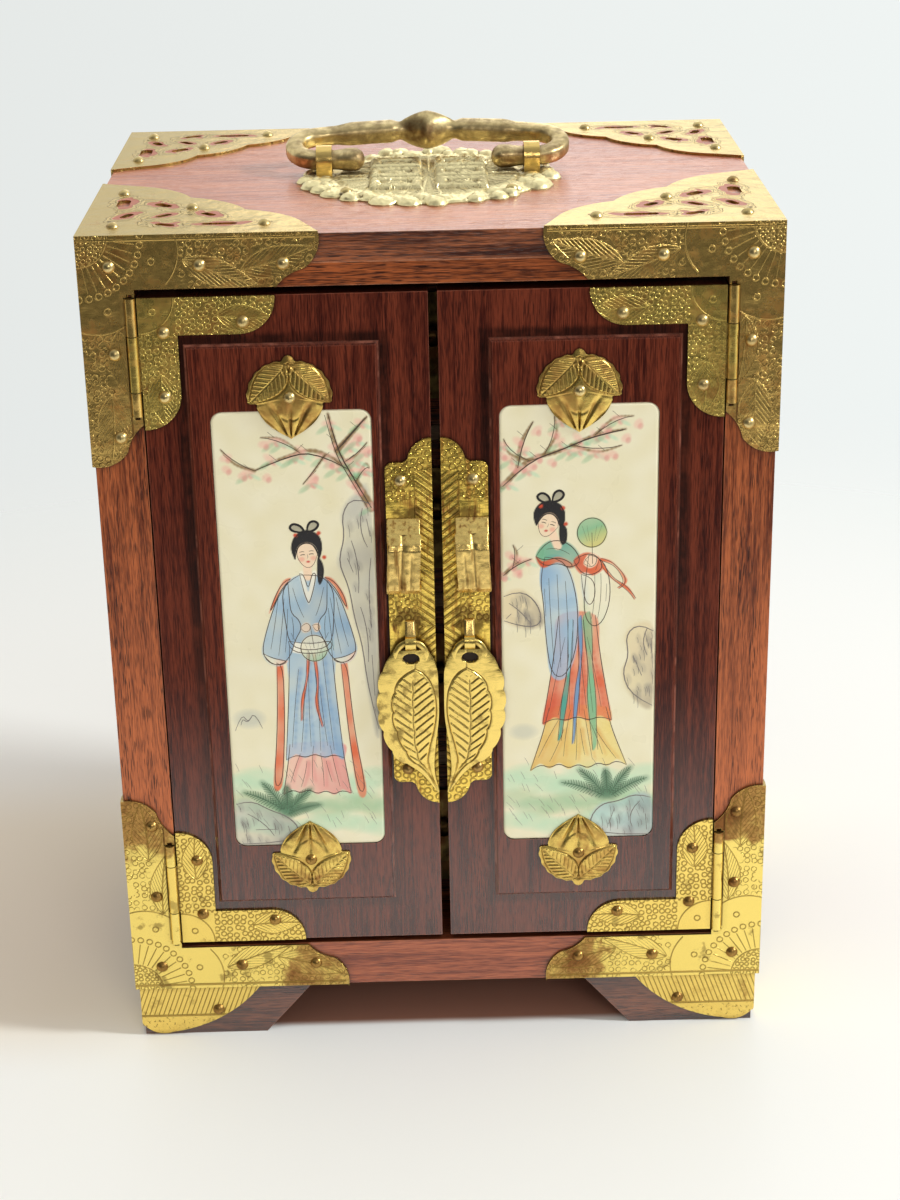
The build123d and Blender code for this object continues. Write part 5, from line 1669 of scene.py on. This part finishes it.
def paintLeftScene(art, ink):
    art.dab(-15, -24, 4.5, 3.0, "haze", 0.6)
    for dx in (0.0, 1.6):
        peaks = [(-19 + dx, -27.5 + dx), (-17, -22.0 - dx), (-15.4, -25.5), (-13.6, -21.5), (-11.6, -27)]
        ink["grey"].append((peaks, 0.8))
    paintGround(art, ink, -44, 5)
    paintRock(art, ink, [(20.0, 37), (15.4, 39.5), (12.0, 34.5), (12.8, 28), (10.6, 21), (13.4, 14), (14.4, 5),
                         (16.4, -3), (17.4, -16), (20.0, -28)],
              [[(17.6, 36), (16.0, 30), (18.6, 25)], [(14.4, 27), (16.6, 20), (15.8, 12)],
               [(19.4, 22), (18.0, 12), (19.0, 2)], [(16.2, 8), (18.4, 1), (17.8, -8)], [(18.6, 33), (19.4, 28)],
               [(13.2, 22), (14.6, 18)], [(18.8, -6), (19.2, -18)]], 3)
    paintBranch(art, ink, [([(20, 36), (15, 45.5), (11.5, 52.5), (9.6, 62)], 1.9),
                           ([(14, 47), (6, 52), (-2, 50.5), (-10, 47)], 1.1),
                           ([(11.6, 52), (16, 57), (19.6, 61)], 1.3), ([(2, 51.6), (-3, 55.5), (-8, 56)], 0.7),
                           ([(-10, 47), (-15, 49), (-18.5, 53)], 0.8), ([(16, 43), (18.6, 48), (19.8, 47)], 0.8),
                           ([(8.5, 51), (5, 46), (2.4, 43)], 0.6), ([(13.6, 49), (16.4, 50.5), (19.4, 54)], 0.7)], 3.0)
    paintLady(art, ink, leftLady)
    paintRock(art, ink, [(-20.0, -50), (-16, -48.6), (-11, -52), (-6, -54), (-2.6, -58), (-5, -62.4), (-20.0, -62.4)],
              [[(-17, -53), (-12, -56), (-10, -60)], [(-15, -58), (-9, -58)], [(-6, -57), (-5, -61)]], 7)
    paintFern(art, ink, [(-7, -52, 160, 11.5), (-6.6, -52, 130, 9.5), (-6, -52, 88, 6.5), (-5.6, -52.4, 40, 8.5),
                         (-6, -53.4, 8, 9.5)])


def paintRightScene(art, ink):
    art.dab(-15, -30, 4.0, 2.5, "haze", 0.5)
    paintGround(art, ink, -45, 12)
    paintRock(art, ink, [(20.0, -1), (16.2, 1.5), (12.4, -2), (13.6, -8), (11.6, -13), (14.2, -20), (20.0, -23)],
              [[(18.4, 0), (16.4, -4), (18.4, -8)], [(14.6, -8), (17, -14)], [(19.4, -3), (19.8, -9)]], 21, "sand")
    paintRock(art, ink, [(-20.0, 10), (-15.6, 12), (-11.0, 8), (-9.6, 2), (-14, 0.6), (-20.0, 3)],
              [[(-18.6, 8), (-15.6, 6), (-12.8, 2)], [(-18, 5), (-19.4, 3.6)]], 22, "sand")
    paintBranch(art, ink, [([(-20, 41), (-13, 48), (-5, 50.5), (4, 54.5), (12, 56)], 1.3),
                           ([(-16, 46), (-15, 53), (-12, 58.5)], 1.1),
                           ([(-9, 49.6), (-6, 55), (-6.4, 60)], 0.8), ([(-2, 52), (5, 50.0), (11, 51.6)], 0.8),
                           ([(4, 54.5), (9, 59), (14, 59.5)], 0.7), ([(-20, 16), (-17, 19), (-12.6, 20.5)], 0.9),
                           ([(-17.6, 18), (-16.4, 22), (-17.4, 24.6)], 0.7),
                           ([(-13, 48), (-18, 50), (-19.6, 54)], 0.7)], 11.0)
    paintLady(art, ink, rightLady)
    paintRock(art, ink, [(20.0, -51), (16, -49.5), (11, -52), (6.4, -52.5), (3.0, -57), (4, -62.4), (20.0, -62.4)],
              [[(17, -52), (13, -56), (15, -60)], [(10, -54), (8.4, -59)], [(18.6, -56), (19, -61)]], 31, "blue")
    paintFern(art, ink, [(7, -50, 168, 12.0), (7.2, -49.6, 138, 9.5), (8, -49.4, 95, 6.5), (8.6, -49.6, 50, 9.0),
                         (9, -50, 20, 10.5)])


def shapePlaque(u, v, side):
    p = plaqueSize
    z = v * p["halfTall"]
    over = abs(z) - (p["halfTall"] - p["corner"])
    half = p["halfWide"]
    if over > 0:
        half -= p["corner"] - math.sqrt(max(p["corner"] ** 2 - over ** 2, 0.0))
    x = u * half
    inward = min(half - abs(x), p["halfTall"] - abs(z))
    drop = p["edgeDrop"] * (1 - step(inward, 0.0, p["edgeRound"])) ** 2
    return side * p["x"] + x, p["face"] + drop, p["z"] + z


def makeInk(name, lines, material, side, body):
    p = plaqueSize
    curve = bpy.data.curves.new(name, "CURVE")
    curve.dimensions = "3D"
    curve.bevel_depth = 0.16 * mm
    curve.bevel_resolution = 1
    curve.resolution_u = 3
    curve.use_fill_caps = True
    for points, weight in lines:
        kept = [(x, z) for x, z in points if abs(x) < p["halfWide"] - 0.5 and abs(z) < p["halfTall"] - 0.5]
        if len(kept) < 2:
            continue
        spline = curve.splines.new("NURBS")
        spline.points.add(len(kept) - 1)
        for i, (x, z) in enumerate(kept):
            spline.points[i].co = ((side * p["x"] + x) * mm, p["face"] * mm, (p["z"] + z) * mm, 1.0)
            atEnd = min(i, len(kept) - 1 - i) == 0
            spline.points[i].radius = weight * (0.55 if atEnd else 1.0)
        spline.order_u = 3
        spline.use_endpoint_u = True
    activate(addObject(name, curve))
    bpy.ops.object.convert(target="MESH")
    lineWork = bpy.context.object
    lineWork.name = name
    for vertex in lineWork.data.vertices:
        vertex.co.y = p["face"] * mm + (vertex.co.y - p["face"] * mm) * 0.3
    finishPiece(lineWork, material, body)


def makePlaque(side, name, body, paintScene, seed):
    p = plaqueSize
    plaque = reliefPiece(name, p["across"], p["along"], lambda u, v: shapePlaque(u, v, side), 1, p["back"])
    mesh = plaque.data
    places = numpy.empty(len(mesh.vertices) * 3)
    mesh.vertices.foreach_get("co", places)
    places = places.reshape(-1, 3) * 1000.0
    art = Painting(places[:, 0] - side * p["x"], places[:, 2] - p["z"], seed)
    ink = {"brown": [], "black": [], "grey": [], "green": []}
    paintScene(art, ink)
    layer = mesh.color_attributes.new("paint", "FLOAT_COLOR", "POINT")
    layer.data.foreach_set("color", numpy.hstack([art.color, numpy.ones((len(places), 1))]).ravel())
    finishPiece(plaque, plaqueGlaze, body, "plaque_" + ("left" if side < 0 else "right"))
    for tint, lines in ink.items():
        makeInk(name + tint.title() + "Ink", lines, inks[tint], side, body)


def makeGlaze():
    material, shader = startMaterial("paintedPlaque")
    paint = Wire(addNode("Attribute", attribute_name="paint").outputs["Color"])
    speck = ramp(noise(millimetres(), 2.2, 3.0), 0.62, 0.8, 0.0, 0.10)
    plugAll(shader, Base_Color=mixColor(speck, paint, (0.45, 0.33, 0.18)),
            Roughness=ramp(noise(millimetres(), 0.12, 2.0), 0.3, 0.7, 0.26, 0.38))
    shader.inputs["Coat Weight"].default_value = 0.35
    shader.inputs["Coat Roughness"].default_value = 0.12
    return material


def makeInkMaterial(tint, dark, light):
    material, shader = startMaterial(tint + "Ink")
    color = mixColor(noise(millimetres(), 1.6, 2.0), toned(*dark), toned(*light))
    plugAll(shader, Base_Color=color, Roughness=0.45)
    return material


plaqueGlaze = makeGlaze()
inkTints = {"brown": ((34, 24, 20), (92, 70, 54)), "black": ((14, 12, 14), (40, 34, 34)),
            "grey": ((84, 80, 82), (150, 142, 134)), "green": ((38, 66, 44), (92, 128, 96))}
inks = {tint: makeInkMaterial(tint, *tones) for tint, tones in inkTints.items()}
makePlaque(-1, "paintedPlaqueLeft", "left_door", paintLeftScene, 2.0)
makePlaque(1, "paintedPlaqueRight", "right_door", paintRightScene, 9.0)
print("plaques are painted")


# Floor, backdrop, light and camera.

# Places are in metres. Each pair says where something starts and where it is full.
stage = {
    "floorColor": (0.89, 0.885, 0.86), "floorSize": 12.0, "brighter": 1.02, "fade": (0.25, 0.66), "fadeCentre": 0.10,
    "frontFloor": 0.12, "frontEdge": (-0.64, -0.32),
    "warmShade": (0.93, 0.85, 0.74), "warmX": ((-0.05, -0.12), (-0.75, -0.35)),
    "warmY": ((-0.085, -0.045), (0.12, 0.06)),
    "underShadowColor": (0.40, 0.20, 0.14), "underX": (0.0885, 0.080), "underY": ((-0.0605, -0.0570), (0.070, 0.055)),
    "backLeft": (0.775, 0.80, 0.785), "backRight": (0.88, 0.92, 0.905), "backBlend": (-0.35, 0.35),
    "frontShare": 0.08, "behind": (-0.45, 0.35), "overhead": (0.35, 0.95), "overheadShare": 0.35,
    "right": (0.45, 0.85), "rightShare": 0.5, "ambient": (1.0, 0.96, 0.90), "ambientStrength": 0.66,
}


# Full between two edges, and fading out at each.
def between(value, one, other):
    return ramp(value, *one) * ramp(value, *other)


def makeFloor():
    bpy.ops.mesh.primitive_plane_add(size=stage["floorSize"], location=(0, 0, 0))
    floor = bpy.context.object
    floor.name = "paleFloor"
    material, shader = startMaterial("paleTable")
    place = coordinate()
    x, y = split(place)[:2]
    # Nearer than the picture's lower edge the table is painted dark, a painted shade, so the upper brass and doors
    # mirror something darker.
    darkFront = ramp(y, *stage["frontEdge"], stage["frontFloor"], 1.0)
    cloud = noise(millimetres(), 0.004, 2.0)
    pale = mixColor(cloud, stage["floorColor"], tuple(c * stage["brighter"] for c in stage["floorColor"]))
    pale = mixColor(darkFront, (0.0, 0.0, 0.0), pale)
    # The shade to the left is warmer than the light.
    shaded = between(x, *stage["warmX"]) * between(y, *stage["warmY"])
    pale = mixColor(shaded, pale, mixColor(1.0, pale, stage["warmShade"], "MULTIPLY"))
    # Between the feet the table is painted a dark brown shadow, where hardly any light gets in.
    under = ramp(abs(x), *stage["underX"]) * between(y, *stage["underY"])
    plugAll(shader, Base_Color=mixColor(under, pale, stage["underShadowColor"]), Roughness=0.55)
    # Far from the cabinet the floor gives way to the backdrop's own colour.
    length = addNode("VectorMath", operation="LENGTH")
    plug(mapping(place, location=(0.0, stage["fadeCentre"], 0.0)), length.inputs[0])
    share = ramp(Wire(length.outputs["Value"]), *stage["fade"])
    output = next(node for node in material.node_tree.nodes if node.type == "OUTPUT_MATERIAL")
    plug(mixShaders(share, shader, addNode("BsdfTransparent")), output.inputs[0])
    floor.data.materials.append(material)


def mixShaders(share, first, second):
    mix = addNode("MixShader")
    for socket, value in zip(mix.inputs, (share, Wire(first.outputs[0]), Wire(second.outputs[0]))):
        plug(value, socket)
    return Wire(mix.outputs[0])


def makeWorld():
    world = bpy.data.worlds.new("studio")
    bpy.context.scene.world = world
    world.use_nodes = True
    opened["tree"] = world.node_tree
    world.node_tree.nodes.clear()
    rays = addNode("LightPath").outputs
    seen = most(*(Wire(rays[f"Is {kind} Ray"]) for kind in ("Camera", "Glossy", "Transmission")))
    # Behind the cabinet the room is pale, and in front of it, where only metal and lacquer look, it is dimmer.
    x, y, z = split(coordinate("Generated"))
    behind = ramp(y, *stage["behind"], stage["frontShare"], 1.0)
    overhead = ramp(z, *stage["overhead"], 0.0, stage["overheadShare"])
    level = least(behind + overhead + ramp(x, *stage["right"]) * stage["rightShare"], 1.0)
    back = mixColor(ramp(x, *stage["backBlend"]), stage["backLeft"], stage["backRight"])
    shown, lit = addNode("Background"), addNode("Background")
    plugAll(shown, Color=mixColor(level, (0.0, 0.0, 0.0), back), Strength=1.0)
    plugAll(lit, Color=stage["ambient"], Strength=stage["ambientStrength"])
    plug(mixShaders(seen, lit, shown), addNode("OutputWorld").inputs[0])


# Each softbox: place, height of the point it looks at, size, power and colour.

softboxes = {"windowRight": ((1.70, -0.38, 1.28), 0.10, 0.32, 31.0, (0.90, 0.97, 1.0)),
             "roomFront": ((0.35, -1.30, 0.75), 0.10, 0.50, 3.0, (1.0, 0.96, 0.90)),
             "backOverhead": ((0.10, 0.95, 0.62), 0.20, 0.50, 0.8, (1.0, 0.98, 0.95))}
photoView = {"sensor": 36.0, "lens": 68.97, "place": (-0.00310, -0.62836, 0.36800), "turn": (67.475, 1.089, -1.057)}


def addSoftbox(name, place, aim, size, power, color):
    light = bpy.data.lights.new(name, "AREA")
    light.shape = "DISK"
    light.size = size
    light.energy = power
    light.color = color
    lamp = addObject(name, light)
    lamp.location = place
    lamp.rotation_euler = (Vector((0, 0, aim)) - Vector(place)).to_track_quat("-Z", "Y").to_euler()


def makeCamera():
    data = bpy.data.cameras.new("photoView")
    data.sensor_fit = "VERTICAL"
    data.sensor_height = photoView["sensor"]
    data.lens = photoView["lens"]
    camera = addObject("photoView", data)
    camera.location = photoView["place"]
    camera.rotation_euler = Euler([math.radians(a) for a in photoView["turn"]])
    bpy.context.scene.camera = camera


makeFloor()
makeWorld()
for name, settings in softboxes.items():
    addSoftbox(name, *settings)
makeCamera()
bpy.context.scene.view_settings.view_transform = "Standard"

print("scene is ready")
